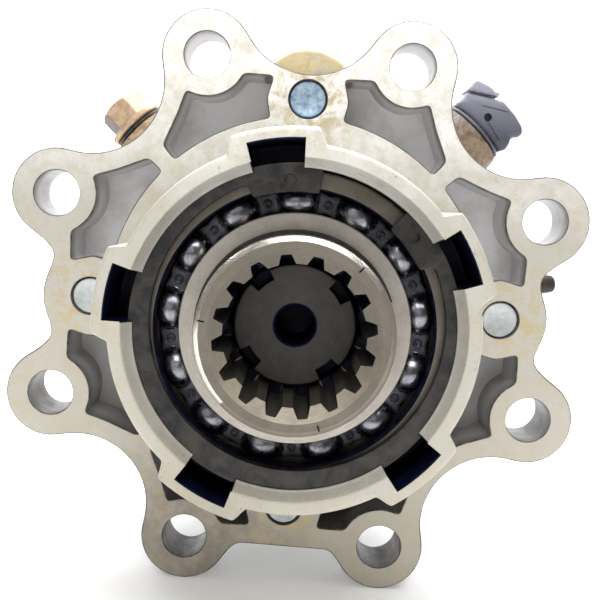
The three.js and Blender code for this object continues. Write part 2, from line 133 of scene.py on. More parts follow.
def circle(r, steps, centre=(0, 0)):
    return arc(r, 0, 360 * (steps - 1) / steps, steps - 1, centre)


def area(points):
    pairs = zip(points, points[1:] + points[:1])
    return sum(a[0] * b[1] - b[0] * a[1] for a, b in pairs) / 2


def rounded(points, r, steps=4, sharp_deg=25):
    """The closed outline with each corner that bends more than sharp_deg turned with an arc."""
    found = []
    n = len(points)
    for i, p in enumerate(points):
        corner = Vector(p)
        before = Vector(points[i - 1]) - corner
        after = Vector(points[(i + 1) % n]) - corner
        if before.length < 1e-6 or after.length < 1e-6:
            found.append(p)
            continue
        inside = before.angle(after)
        if math.pi - inside < math.radians(sharp_deg):
            found.append(p)
            continue
        reach = min(r / math.tan(inside / 2), before.length * 0.45, after.length * 0.45)
        start = corner + before.normalized() * reach
        end = corner + after.normalized() * reach
        for k in range(steps + 1):
            t = k / steps
            found.append(tuple((1 - t) ** 2 * start + 2 * t * (1 - t) * corner + t * t * end))
    return found


def grown(points, distance):
    """The closed outline moved outwards by a distance, or inwards by a negative one."""
    if abs(distance) < 1e-9:
        return list(points)
    side = 1 if area(points) > 0 else -1
    found = []
    n = len(points)
    for i, p in enumerate(points):
        a, b, c = Vector(points[i - 1]), Vector(p), Vector(points[(i + 1) % n])
        first, second = (b - a).normalized(), (c - b).normalized()
        n1, n2 = Vector((first.y, -first.x)), Vector((second.y, -second.x))
        middle = (n1 + n2).normalized()
        stretch = 1 / max(0.5, middle.dot(n1))
        found.append(tuple(b + middle * side * distance * stretch))
    return found


def inset(points, distance):
    """The closed outline moved inwards a little at a time, so that its tight corners stay clean."""
    steps = max(1, math.ceil(distance / 0.25))
    for _ in range(steps):
        moved_in = [Vector(p) for p in grown(points, -distance / steps)]
        n = len(moved_in)
        points = [
            tuple((moved_in[i - 1] + 6 * p + moved_in[(i + 1) % n]) / 8) for i, p in enumerate(moved_in)
        ]
    return points


# ---------- pieces ----------


def new_object(name, data):
    made = bpy.data.objects.new(name, data)
    bpy.context.scene.collection.objects.link(made)
    return made


def clean_mesh(name, verts, faces):
    """A closed mesh in the row frame from train coordinates, with its normals facing out."""
    mesh = bpy.data.meshes.new(name)
    mesh.from_pydata([TRAIN_TO_ROW @ Vector(v) * MM for v in verts], [], faces)
    bm = bmesh.new()
    bm.from_mesh(mesh)
    bmesh.ops.remove_doubles(bm, verts=bm.verts, dist=1e-6)
    bmesh.ops.dissolve_degenerate(bm, edges=bm.edges, dist=1e-7)
    bmesh.ops.recalc_face_normals(bm, faces=bm.faces)
    bm.to_mesh(mesh)
    bm.free()
    return mesh


def carved(mesh, cuts):
    """The mesh with solids cut out of it."""
    whole = new_object("whole", mesh)
    cutters = []
    for solid in cuts:
        cutter = new_object("cutter", clean_mesh("cutter", *solid))
        cutters.append(cutter)
        cut = whole.modifiers.new("cut", "BOOLEAN")
        cut.operation = "DIFFERENCE"
        cut.solver = "EXACT"
        cut.object = cutter
    bpy.context.view_layer.update()
    result = bpy.data.meshes.new_from_object(whole.evaluated_get(bpy.context.evaluated_depsgraph_get()))
    for used in [whole, *cutters]:
        bpy.data.objects.remove(used)
    return result


def place(name, solid, body, slot, looks, replaces=(), sharp_deg=32, face_looks=None, cuts=()):
    """A mesh piece from a solid, which is its verts in train millimetres and its faces.

    looks are its materials, and face_looks(centre, normal) picks one for each face."""
    mesh = clean_mesh(name, *solid)
    if cuts:
        mesh = carved(mesh, cuts)
    bm = bmesh.new()
    bm.from_mesh(mesh)
    limit = math.radians(sharp_deg)
    for edge in bm.edges:
        edge.smooth = len(edge.link_faces) == 2 and edge.calc_face_angle(0) < limit
    for face in bm.faces:
        face.smooth = True
        if face_looks:
            back = TRAIN_TO_ROW.transposed()
            face.material_index = face_looks(back @ face.calc_center_median() / MM, back @ face.normal)
    bm.to_mesh(mesh)
    bm.free()
    piece = new_object(name, mesh)
    for look in looks:
        mesh.materials.append(look)
    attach(piece, body)
    if replaces:
        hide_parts(*replaces)
    flat = piece.modifiers.new("flat_faces", "WEIGHTED_NORMAL")
    flat.keep_sharp = True
    return piece


def band_faces(rings, n, closed=True):
    """Faces between neighbouring rings of n verts each, and from the last ring to the first when closed."""
    faces = []
    for i in range(rings if closed else rings - 1):
        j = (i + 1) % rings
        for k in range(n):
            m = (k + 1) % n
            faces.append((i * n + k, i * n + m, j * n + m, j * n + k))
    return faces


def revolved(sections):
    """The solid swept through closed (radius, z) sections, given as (degrees, section) all the way round."""
    verts = [(*polar(r, deg), z) for deg, section in sections for r, z in section]
    return verts, band_faces(len(sections), len(sections[0][1]))


def turned(section, steps=96):
    """A plain solid of revolution from a closed (radius, z) section."""
    return revolved([(360 * i / steps, section) for i in range(steps)])


def plate(outer, holes, front, back, outer_edges=(0.6, 0.6)):
    """A flat plate, its edges rounded by the sizes given.

    holes are (points, front edge, back edge, floor). A hole with a floor is blind, its walls lean in
    a little on the way down, and floor is None for the others."""
    verts, faces = [], []

    def loop(points, z):
        first = len(verts)
        verts.extend((x, y, z) for x, y in points)
        return list(range(first, first + len(points)))

    def wall(loops):
        for a, b in zip(loops, loops[1:]):
            n = len(a)
            for k in range(n):
                faces.append((a[k], a[(k + 1) % n], b[(k + 1) % n], b[k]))

    def cap(loops):
        tris = tessellate_polygon([[Vector((*verts[i][:2], 0)) for i in ids] for ids in loops])
        flat = [i for ids in loops for i in ids]
        faces.extend(tuple(flat[i] for i in tri) for tri in tris)

    def edge(points, size, z, inwards, grow):
        """Loops round an edge at the face z. inwards is the side of z that the material is on."""
        if size <= 0:
            return [loop(points, z)]
        turns = [(1, 0), (0.62, 0.08), (0.29, 0.29), (0.08, 0.62), (0, 1)]
        return [loop(grown(points, grow * size * a), z + inwards * size * b) for a, b in turns]

    top = edge(outer, outer_edges[0], front, -1, -1)
    bottom = edge(outer, outer_edges[1], back, 1, -1)
    wall(top + bottom[::-1])
    front_loops, back_loops = [top[0]], [bottom[0]]
    for points, front_edge, back_edge, floor in holes:
        top = edge(points, front_edge, front, -1, 1)
        front_loops.append(top[0])
        if floor is None:
            bottom = edge(points, back_edge, back, 1, 1)
            wall(top + bottom[::-1])
            back_loops.append(bottom[0])
        else:
            lean = back_edge
            deep = [(0.55 * lean, 2.2), (0.8 * lean, 0.7), (1.25 * lean, 0.15), (1.8 * lean, 0)]
            wide, reached, bottom = points, 0, []
            for narrower, rise in deep:
                wide = inset(wide, narrower - reached)
                reached = narrower
                bottom.append(loop(wide, floor + rise))
            wall(top + bottom)
            cap([bottom[-1]])
    cap(front_loops)
    cap(back_loops)
    return verts, faces


def laid_radial(solid, deg, z):
    """A solid made along z, laid along a radius of the train."""
    verts, faces = solid
    turn = Matrix.Rotation(math.radians(deg), 3, "Z") @ Matrix.Rotation(math.pi / 2, 3, "Y")
    return [tuple(turn @ Vector(v) + Vector((0, 0, z))) for v in verts], faces


def moved(solid, x, y, z=0):
    verts, faces = solid
    return [tuple(Vector(v) + Vector((x, y, z))) for v in verts], faces


def joined(*parts):
    """One list of verts and faces from several."""
    verts, faces = [], []
    for part_verts, part_faces in parts:
        first = len(verts)
        verts.extend(part_verts)
        faces.extend(tuple(i + first for i in face) for face in part_faces)
    return verts, faces


# ---------- materials ----------


class Look:
    """A procedural material. Coordinates are the row frame's, in millimetres."""

    def __init__(self, name, metallic, roughness, specular=0.5):
        self.material = bpy.data.materials.new(name)
        self.material.use_nodes = True
        self.tree = self.material.node_tree
        self.shader = self.tree.nodes["Principled BSDF"]
        self.shader.inputs["Metallic"].default_value = metallic
        self.shader.inputs["Roughness"].default_value = roughness
        self.shader.inputs["Specular IOR Level"].default_value = specular
        coords = self.tree.nodes.new("ShaderNodeTexCoord").outputs["Object"]
        scale = self.tree.nodes.new("ShaderNodeVectorMath")
        scale.operation = "SCALE"
        scale.inputs["Scale"].default_value = 1000
        self.link(coords, scale.inputs[0])
        self.at = scale.outputs[0]

    def link(self, source, target):
        if isinstance(source, (int, float, tuple)):
            target.default_value = source
        else:
            self.tree.links.new(source, target)

    def maths(self, operation, a, b=0.0):
        node = self.tree.nodes.new("ShaderNodeMath")
        node.operation = operation
        self.link(a, node.inputs[0])
        self.link(b, node.inputs[1])
        return node.outputs[0]

    def times(self, a, b):
        return self.maths("MULTIPLY", a, b)

    def length(self, a, b):
        """The length of the line with parts a and b."""
        return self.maths("SQRT", self.maths("ADD", self.times(a, a), self.times(b, b)))

    def noise(self, size, detail=3, roughness=0.55, at=None, distortion=0):
        """Noise whose blobs are about size millimetres."""
        node = self.tree.nodes.new("ShaderNodeTexNoise")
        self.link(at or self.at, node.inputs["Vector"])
        node.inputs["Scale"].default_value = 1 / size
        node.inputs["Detail"].default_value = detail
        node.inputs["Roughness"].default_value = roughness
        node.inputs["Distortion"].default_value = distortion
        return node.outputs["Fac"]

    def cells(self, size):
        node = self.tree.nodes.new("ShaderNodeTexVoronoi")
        self.link(self.at, node.inputs["Vector"])
        node.inputs["Scale"].default_value = 1 / size
        return node.outputs["Distance"]

    def part(self, axis):
        node = self.tree.nodes.new("ShaderNodeSeparateXYZ")
        self.link(self.at, node.inputs[0])
        return node.outputs[axis]

    def ring_coords(self, around):
        """Coordinates stretched round the gear axis: lines run along circles."""
        x, y, z = self.part("X"), self.part("Y"), self.part("Z")
        radius = self.length(x, z)
        turn = self.times(self.maths("ARCTAN2", z, x), 40 * around)
        node = self.tree.nodes.new("ShaderNodeCombineXYZ")
        self.link(radius, node.inputs[0])
        self.link(turn, node.inputs[1])
        self.link(y, node.inputs[2])
        return node.outputs[0]

    def span(self, value, low, high, to_low=0.0, to_high=1.0):
        """value from low to high, as to_low to to_high, held at the ends."""
        node = self.tree.nodes.new("ShaderNodeMapRange")
        for socket, given in zip(node.inputs, (value, low, high, to_low, to_high)):
            self.link(given, socket)
        return node.outputs[0]

    def mix(self, share, a, b):
        node = self.tree.nodes.new("ShaderNodeMix")
        node.data_type = "RGBA"
        self.link(share, node.inputs["Factor"])
        for given, socket in ((a, node.inputs[6]), (b, node.inputs[7])):
            self.link((*given, 1) if isinstance(given, tuple) else given, socket)
        return node.outputs[2]

    def color(self, value):
        self.link((*value, 1) if isinstance(value, tuple) else value, self.shader.inputs["Base Color"])

    def rough(self, value, to_low, to_high, low=0.3, high=0.7):
        """Roughness from to_low to to_high as the value goes from low to high."""
        self.link(self.span(value, low, high, to_low, to_high), self.shader.inputs["Roughness"])

    def bump(self, *layers):
        """Each layer is (height, depth in millimetres)."""
        previous = None
        for height, depth in layers:
            node = self.tree.nodes.new("ShaderNodeBump")
            node.inputs["Distance"].default_value = depth * MM
            node.inputs["Strength"].default_value = 1
            self.link(height, node.inputs["Height"])
            if previous:
                self.link(previous, node.inputs["Normal"])
            previous = node.outputs[0]
        self.link(previous, self.shader.inputs["Normal"])


def shade(color, by):
    return tuple(by * v for v in color)


def machined_aluminium(name, dirt, metallic=0.3, tint=(1, 1, 1)):
    """The bright faces of the casting.

    They have fine pits, ochre stains round the plugs and a darker film low down on the left."""
    look = Look(name, metallic, 0.5)
    x, height = look.part("X"), look.part("Z")

    def distance(a, b, a_at, b_at):
        return look.length(look.maths("SUBTRACT", a, a_at), look.maths("SUBTRACT", b, b_at))

    beside = distance(look.maths("ABSOLUTE", x), height, PLUG_CIRCLE_R, 0)
    above = distance(look.maths("ABSOLUTE", height), x, PLUG_CIRCLE_R, 0)
    near_plug = look.span(look.maths("MINIMUM", beside, above), 8, 20, 1, 0)
    stain = look.span(look.noise(5, 6, 0.7, distortion=0.5), 0.46, 0.6)
    speckle = look.span(look.noise(0.9, 4, 0.75), 0.60, 0.66)
    patch = look.span(look.noise(9, 5, 0.65), 0.46, 0.6)
    # Painted light and shade by height: near white at the top, darker and browner towards the bottom.
    low = look.span(look.maths("ADD", height, look.span(look.noise(30), 0.3, 0.7, -20, 20)), 10, -100)
    painted_top_light = look.span(look.maths("ADD", height, look.span(look.noise(22), 0.3, 0.7, -10, 10)), 78, 28)
    film = look.span(distance(x, height, -34, -84), 14, 50, 1, 0)
    bright, middle = [
        tuple(v * t for v, t in zip(tone, tint)) for tone in ((0.90, 0.89, 0.86), (0.50, 0.48, 0.43))
    ]
    clean = look.mix(low, look.mix(painted_top_light, bright, middle), (0.46, 0.43, 0.36))
    filmed = look.mix(look.times(film, 0.85), clean, (0.25, 0.225, 0.19))
    share = look.maths("ADD", look.times(near_plug, 0.6), 0.22 * dirt)
    stained = look.mix(look.times(stain, share), filmed, (0.52, 0.42, 0.22))
    mottled = look.mix(look.times(patch, 0.22 * dirt), stained, (0.52, 0.49, 0.43))
    look.color(
        look.mix(
            look.times(speckle, look.maths("ADD", look.times(patch, 0.55), 0.15)), mottled,
            (0.20, 0.175, 0.14)
        )
    )
    look.rough(look.noise(4, 4), 0.42, 0.62)
    look.bump((look.noise(0.5, 4, 0.7), 0.04), (look.span(look.noise(1.3, 3), 0.58, 0.7, 1, 0), 0.06))
    return look.material


def edge_shade_and_wear():
    """The rounded edges of the machined faces: painted shade, near black and darker towards the bottom, with
    lighter worn patches.
    """
    look = Look("edge_shade_and_wear", 0.2, 0.6)
    worn = look.span(look.noise(3, 5, 0.7), 0.42, 0.6)
    # Painted shade, deeper towards the bottom.
    low = look.span(look.part("Z"), 60, -60)
    dark = look.mix(low, (0.07, 0.066, 0.06), (0.035, 0.032, 0.03))
    look.color(look.mix(look.times(worn, 0.5), dark, (0.30, 0.28, 0.25)))
    look.rough(worn, 0.6, 0.5, 0, 1)
    look.bump((look.noise(0.6, 4), 0.04))
    return look.material


def cast_aluminium(name, tone):
    """Sand-cast walls: a smooth grey skin, with painted shade that darkens it towards the bottom and just
    behind the front face.
    """
    look = Look(name, 0.2, 0.5)
    skin = look.noise(2.4, 4, 0.55)
    grime = look.span(look.noise(11, 5, 0.6), 0.48, 0.7)
    # Painted shade: darker towards the bottom.
    low = look.span(look.part("Z"), 30, -80)
    base = look.mix(low, shade((0.70, 0.69, 0.70), tone), shade((0.13, 0.125, 0.12), tone))
    grimy = look.mix(look.times(grime, 0.3), base, (0.30, 0.275, 0.22))
    # Painted shade: a dark band on the walls just behind the front face.
    look.color(look.mix(look.span(look.part("Y"), 0.5, 7, 0.85, 0), grimy, (0.10, 0.095, 0.085)))
    look.rough(skin, 0.42, 0.6)
    look.bump((skin, 0.12), (look.noise(7, 2), 0.5))
    return look.material


def stained_casting(name, tone):
    """Casting skin under old oil and rust: ochre to brown."""
    look = Look(name, 0.1, 0.6)
    skin = look.noise(1.4, 5, 0.65)
    rust = look.span(look.noise(6, 6, 0.7, distortion=0.6), 0.4, 0.6)
    spots = look.span(look.noise(1.6, 5, 0.7), 0.6, 0.66)
    grey = look.span(look.part("Z"), 62, 72, 0, 0.75)
    ochre, lilac, brown = [
        shade(color, tone) for color in ((0.55, 0.40, 0.26), (0.62, 0.60, 0.63), (0.27, 0.155, 0.085))
    ]
    tan = look.mix(look.times(grey, look.span(look.part("X"), 0, 30)), ochre, lilac)
    base = look.mix(rust, tan, brown)
    look.color(look.mix(look.times(spots, 0.8), base, (0.08, 0.055, 0.04)))
    look.rough(skin, 0.45, 0.75)
    look.bump((skin, 0.25), (look.noise(4, 2), 0.4))
    return look.material


def oiled_bore():
    """Bored walls inside the rim: turning marks under a dark brown film of oil."""
    look = Look("oiled_bore", 0.6, 0.34)
    marks = look.noise(0.5, 3, 0.6, at=look.ring_coords(0.03))
    film = look.span(look.noise(9, 4, 0.6), 0.35, 0.65)
    look.color(look.mix(film, (0.21, 0.185, 0.155), (0.36, 0.32, 0.26)))
    look.rough(marks, 0.24, 0.42)
    look.bump((marks, 0.03))
    return look.material


def notch_shadow():
    """A blue-black painted shadow for the notches' faces and other deep hollows."""
    look = Look("painted_notch_shadow", 0.1, 0.5, specular=0.15)
    film = look.noise(5, 4, 0.6)
    look.color(look.mix(look.span(film, 0.4, 0.7), (0.002, 0.003, 0.016), (0.006, 0.008, 0.028)))
    look.rough(film, 0.3, 0.5)
    look.bump((look.noise(0.6, 3), 0.03))
    return look.material


def turned_steel(name, light, dark, roughness, line=0.28, depth=0.02, oil=0.4, metallic=0.9, below=None):
    """Machined steel with fine circles round the gear axis and a thin uneven film of oil."""
    look = Look(name, metallic, roughness)
    marks = look.noise(line, 3, 0.65, at=look.ring_coords(0.05))
    film = look.span(look.noise(8, 5, 0.62, distortion=0.3), 0.36, 0.66)
    specks = look.span(look.noise(0.9, 4, 0.7), 0.61, 0.68)
    # below paints light: faces lower down, which face up to the lamps, turn to this lighter colour.
    if below:
        light = look.mix(look.span(look.part("Z"), 0, -18), light, below)
    base = look.mix(look.times(film, oil), light, dark)
    lined = look.mix(look.span(marks, 0.35, 0.65, 0.0, 0.28), base, dark)
    look.color(look.mix(look.times(specks, 0.5), lined, shade(dark, 0.35)))
    look.rough(marks, roughness - 0.07, roughness + 0.1)
    look.bump((marks, depth), (look.noise(1.5, 4), 0.02))
    return look.material


def oiled_steel(name, light, dark, roughness, metallic=1.0, grain=0.015):
    """Steel with no machining lines, under dark oil."""
    look = Look(name, metallic, roughness)
    film = look.span(look.noise(5, 5, 0.65, distortion=0.5), 0.38, 0.64)
    look.color(look.mix(film, light, dark))
    look.rough(look.noise(2.5, 4), roughness - 0.06, roughness + 0.12)
    look.bump((look.noise(0.7, 4), grain))
    return look.material


def zinc_plate(name, pale, blue, sparkle):
    """Zinc plating: sparkling crystals with a blue passivation tint."""
    look = Look(name, 0.5, 0.38)
    spangle = look.span(look.cells(1.3), 0.0, 0.9)
    tint = look.span(look.noise(2.2, 5, 0.7), 0.38, 0.62)
    base = look.mix(tint, pale, blue)
    glint = look.span(look.noise(0.7, 5, 0.8), 0.58, 0.66)
    look.color(look.mix(look.times(glint, sparkle), base, (0.92, 0.95, 0.97)))
    look.rough(spangle, 0.25, 0.5, 0, 1)
    look.bump((look.noise(0.6, 4, 0.7), 0.05), (spangle, 0.03))
    return look.material


def copper_plate(name, light, dark):
    """Worn copper-coloured plating with brown tarnish."""
    look = Look(name, 0.35, 0.45)
    tarnish = look.span(look.noise(3.5, 6, 0.68), 0.42, 0.62)
    look.color(look.mix(tarnish, light, dark))
    look.rough(look.noise(1.5, 4), 0.32, 0.58)
    look.bump((look.noise(0.8, 5, 0.7), 0.08))
    return look.material


def bronze():
    look = Look("bearing_bronze", 0.95, 0.38)
    marks = look.noise(0.4, 3, 0.6, at=look.ring_coords(0.04))
    look.color(look.mix(look.span(marks, 0.3, 0.7), (0.55, 0.38, 0.17), (0.68, 0.50, 0.26)))
    look.bump((marks, 0.02))
    return look.material


def moulded_plastic(name, tint):
    """Glass-filled nylon with a fine spark-eroded grain."""
    look = Look(name, 0.0, 0.42, specular=0.6)
    dust = look.span(look.noise(6, 5, 0.65), 0.42, 0.7)
    # Painted light: the plastic turns paler and lilac towards the top.
    high = look.span(look.part("Z"), 64, 80, 0, 0.6)
    pale = look.mix(high, tint, (0.36, 0.36, 0.44))
    look.color(look.mix(look.times(dust, 0.35), pale, (0.13, 0.13, 0.135)))
    look.rough(look.noise(1.2, 4), 0.36, 0.55)
    look.bump((look.noise(0.35, 3), 0.03))
    return look.material


def seal_rubber(name, clean, dusty):
    look = Look(name, 0.0, 0.7)
    dust = look.noise(5, 5, 0.6)
    look.color(look.mix(look.span(dust, 0.45, 0.7), clean, dusty))
    look.rough(dust, 0.6, 0.8)
    look.bump((look.noise(0.5, 3), 0.03))
    return look.material


MACHINED = machined_aluminium("machined_face", 1.4, tint=(1.04, 1.04, 1.04))
RIM_FACE = machined_aluminium("rim_face", 1.2, tint=(1.1, 1.1, 1.08))
STAINED_FACE = machined_aluminium("stained_face", 2.4, tint=(0.72, 0.60, 0.36))
RIM_LIP = machined_aluminium("rim_lip", 0.6, metallic=0.5, tint=(1.1, 1.1, 1.1))
EDGE_SHADE_AND_WEAR = edge_shade_and_wear()
CAST = cast_aluminium("cast_skin", 1)
# Lit and shaded copies of the cast skin: painted light on the web's pockets, painted shade in the bolt
# holes.
LIT_POCKET_SKIN = cast_aluminium("lit_pocket_skin", 1.25)
SHADED_HOLE_WALL = cast_aluminium("shaded_hole_wall", 0.75)
STAINED = stained_casting("stained_casting", 1)
STAINED_DARK = stained_casting("oily_casting", 0.5)
BORE = oiled_bore()
PAINTED_SHADOW = notch_shadow()
RACE = turned_steel("ground_race", (0.50, 0.46, 0.41), (0.26, 0.235, 0.20), 0.32)
OUTER_RACE = turned_steel("oiled_race", (0.19, 0.165, 0.13), (0.07, 0.062, 0.05), 0.34, metallic=0.6)
HUB_FACE = turned_steel(
    "hub_face", (0.19, 0.165, 0.13), (0.10, 0.085, 0.064), 0.55, line=0.35, depth=0.01, metallic=0.15
)
# Painted highlight on the upper left of the hub's chamfer.
PAINTED_CHAMFER_HIGHLIGHT = turned_steel("painted_chamfer_highlight", (0.80, 0.77, 0.70), (0.5, 0.45, 0.37), 0.26, oil=0.25)
SHAFT_END = turned_steel(
    "shaft_end", (0.085, 0.076, 0.068), (0.045, 0.04, 0.036), 0.5, line=0.6, depth=0.01, metallic=0.2
)
SHAFT_SIDE = turned_steel("shaft_side", (0.16, 0.14, 0.12), (0.06, 0.05, 0.045), 0.4)
GEAR = turned_steel("gear_steel", (0.42, 0.39, 0.35), (0.24, 0.21, 0.18), 0.34)
CLIP = oiled_steel("clip_steel", (0.05, 0.045, 0.039), (0.017, 0.017, 0.019), 0.42, metallic=0.5)
CAGE = oiled_steel("cage_steel", (0.30, 0.30, 0.32), (0.13, 0.13, 0.155), 0.2, grain=0.003)
PAD = oiled_steel("cage_pad", (0.11, 0.11, 0.125), (0.05, 0.05, 0.062), 0.4, metallic=0.7, grain=0.005)
BALL = oiled_steel("ball_steel", (0.55, 0.55, 0.56), (0.30, 0.29, 0.28), 0.1)
ZINC = zinc_plate("zinc_pale", (0.56, 0.58, 0.57), (0.44, 0.48, 0.48), 0.25)
ZINC_BLUE = zinc_plate("zinc_blue", (0.45, 0.56, 0.66), (0.14, 0.26, 0.40), 0.7)
COPPER = copper_plate("copper_plate", (0.58, 0.42, 0.28), (0.42, 0.27, 0.17))
# Painted shade for the plug head's flats that face down.
COPPER_SHADE = copper_plate("painted_shade_plate", (0.07, 0.06, 0.06), (0.10, 0.075, 0.06))
BRONZE = bronze()
PLASTIC = moulded_plastic("moulded_plastic", (0.05, 0.055, 0.075))
PLASTIC_TAB = moulded_plastic("moulded_tab", (0.30, 0.30, 0.39))
# Painted light: the spline mouth's chamfer turns lighter lower down.
PAINTED_LIT_MOUTH = turned_steel(
    "spline_mouth_painted_light", (0.19, 0.165, 0.13), (0.10, 0.085, 0.064), 0.5, depth=0.01, metallic=0.15,
    below=(0.40, 0.35, 0.27)
)
# Painted shade: the darker copy of the hub's chamfer, on its lower right.
SHADED_CHAMFER = turned_steel("shaded_tan_chamfer", (0.26, 0.225, 0.175), (0.15, 0.128, 0.095), 0.45, metallic=0.4)
SPLINE = turned_steel("spline_steel", (0.34, 0.31, 0.26), (0.16, 0.145, 0.12), 0.32)
RUBBER = seal_rubber("seal_rubber", (0.018, 0.018, 0.018), (0.06, 0.055, 0.05))
BROWN_RUBBER = seal_rubber("aged_rubber", (0.03, 0.022, 0.018), (0.09, 0.06, 0.045))


# ---------- housing ----------


def casting(name, solid, looks, **more):
    """One piece of the housing's casting."""
    place(name, solid, "housing", "casting", looks, ["housing"], **more)


def off_deg(deg, targets):
    """The signed angle from the nearest target."""
    return min(((deg - t + 180) % 360 - 180 for t in targets), key=abs)


def out_of_circle(deg, centre_r, centre_deg, r):
    """How far out a ray from the axis leaves a circle, or 0 where it misses."""
    off = math.radians(deg - centre_deg)
    across = centre_r * math.sin(off)
    if math.cos(off) <= 0 or abs(across) >= r:
        return 0
    return centre_r * math.cos(off) + math.sqrt(r * r - across * across)


def into_circle(deg, centre_r, centre_deg, r):
    """How far out a ray from the axis first meets a circle."""
    off = math.radians(deg - centre_deg)
    across = centre_r * math.sin(off)
    return centre_r * math.cos(off) - math.sqrt(max(r * r - across * across, 0))


def ray_outline(reach, steps=1440, blur=2):
    """A closed outline from how far out it is at each angle, with its corners softened."""
    found = [reach(360 * i / steps) for i in range(steps)]
    weights = [blur + 1 - abs(k) for k in range(-blur, blur + 1)]
    soft = [
        sum(w * found[(i + k) % steps] for w, k in zip(weights, range(-blur, blur + 1))) / sum(weights)
        for i in range(steps)
    ]
    return [polar(r, 360 * i / steps) for i, r in enumerate(soft)]


def softened(points, step=0.45, passes=10):
    """The closed outline in even steps, with its corners worn round."""
    n = len(points)
    even = []
    for i, p in enumerate(points):
        a, b = Vector(p), Vector(points[(i + 1) % n])
        pieces = max(1, round((b - a).length / step))
        even += [a.lerp(b, k / pieces) for k in range(pieces)]
    for _ in range(passes):
        even = [(even[i - 1] + 2 * p + even[(i + 1) % len(even)]) / 4 for i, p in enumerate(even)]
    return [tuple(p) for p in even]


LOBE_DEGS = [lobe_deg(i) for i in range(LOBES)]
LOBE_HALF_DEG = 9.35
FOOT_DEG = 268.5
FOOT_HALF_DEG = 14
FOOT_Y = 85
SIDE_BOSS_HALF_DEG = 12
MACHINED_NORMAL_Z = 0.95
EDGE_NORMAL_Z = 0.15


def filleted(a, b, size=8):
    """The larger of two reaches, with the corner where they cross filled in."""
    near = max(size - abs(a - b), 0)
    return max(a, b) + near * near / (4 * size)


def flange_reach(deg):
    off = off_deg(deg, LOBE_DEGS)
    if abs(off) < LOBE_HALF_DEG:
        out = out_of_circle(off, BOLT_CIRCLE_R, 0, LOBE_R)
    else:
        out = into_circle(abs(off), VALLEY_R + VALLEY_ARC_R, 180 / LOBES, VALLEY_ARC_R)
    if abs(deg - FOOT_DEG) < FOOT_HALF_DEG:
        out = filleted(out, FOOT_Y / math.cos(math.radians(deg - FOOT_DEG)), 2)
    if abs(off_deg(deg, [0, 180])) < SIDE_BOSS_HALF_DEG:
        out = filleted(out, out_of_circle(off_deg(deg, [0, 180]), PLUG_CIRCLE_R, 0, BOSS_R - 0.8))
    return out


def window(i):
    """The pocket beside a bolt hole, with its narrow side towards the plug's web."""
    side = 1 if i % 2 == 0 else -1
    hole = Vector(polar(BOLT_CIRCLE_R, lobe_deg(i)))
    inner = [polar(WINDOW_INNER_R, lobe_deg(i) + side * (19.8 - 31.2 * k / 12)) for k in range(13)]
    around = [
        tuple(hole + Vector(polar(BOLT_BOSS_R, lobe_deg(i) + 180 - side * (-44 + 94 * k / 12))))
        for k in range(13)
    ]
    sides = [
        polar(r, lobe_deg(i) + side * d) for r,
        d in ((71.5, -11.2), (78.4, -13.7), (76.4, 12.1), (71, 19.7))
    ]
    return softened(inner + sides[:2] + around + sides[2:])


def plug_centre(i):
    return polar(PLUG_CIRCLE_R, i * 90)


windows = [window(i) for i in range(LOBES)]
bolt_holes = [circle(BOLT_HOLE_R, 72, polar(BOLT_CIRCLE_R, d)) for d in LOBE_DEGS]

flange_holes = [(circle(FLANGE_BORE_R, 120), 0, 0, None)]
flange_holes += [(points, 0.45, 0.45, None) for points in bolt_holes]
flange_holes += [(points, 0.65, 0, None) for points in windows]
flange_holes += [(circle(RECESS_R, 64, plug_centre(i)), 0.35, 0.2, PLUG_RECESS_FLOOR) for i in range(4)]


def face_or_skin(centre, normal):
    """Machined to the front, painted edge shade on the rounded edges, a shaded copy of the cast skin in the
    bolt holes, cast skin elsewhere.
    """
    if normal.z > MACHINED_NORMAL_Z:
        return 0
    if normal.z > EDGE_NORMAL_Z:
        return 3
    if any(
        (Vector(centre[:2]) - Vector(polar(BOLT_CIRCLE_R, d))).length < BOLT_HOLE_R + 0.5
        for d in LOBE_DEGS
    ):
        return 2
    return 1


gear_cavity = turned(
    [(0, CAVITY_FRONT), (CAVITY_R, CAVITY_FRONT), (CAVITY_R, CAVITY_BACK), (0, CAVITY_BACK)], 144
)
casting(
    "housing_flange", plate(ray_outline(flange_reach), flange_holes, 0, FLANGE_BACK, (0.8, 0.8)),
    [MACHINED, CAST, SHADED_HOLE_WALL, EDGE_SHADE_AND_WEAR], face_looks=face_or_skin, cuts=[gear_cavity]
)


def web_reach(deg):
    off = off_deg(deg, LOBE_DEGS)
    if abs(BOLT_CIRCLE_R * math.sin(math.radians(off))) < BOLT_HOLE_R:
        return min(WEB_R, into_circle(off, BOLT_CIRCLE_R, 0, BOLT_HOLE_R))
    return WEB_R


def pocket(points):
    """A cutter for a pocket below the flange, with a rounded bottom."""
    verts = []
    levels = [(0, -15), (0.3, -25), (0.7, -28), (1.3, -29.5), (2.1, WINDOW_FLOOR)]
    for narrower, z in levels:
        verts += [(x, y, z) for x, y in (inset(points, narrower) if narrower else points)]
    n = len(points)
    faces = band_faces(len(levels), n, closed=False)
    faces += [tuple(range(n)), tuple(range(len(verts) - 1, len(verts) - n - 1, -1))]
    return verts, faces


def boss_clearance(deg, half_width):
    """A cutter that takes the web's edge away in front of a side boss."""
    corners = [(80.2, -half_width), (92, -half_width), (92, half_width), (80.2, half_width)]
    turn = Matrix.Rotation(math.radians(deg), 2)
    return plate([tuple(turn @ Vector(p)) for p in corners], [], -10, -42, (0, 0))


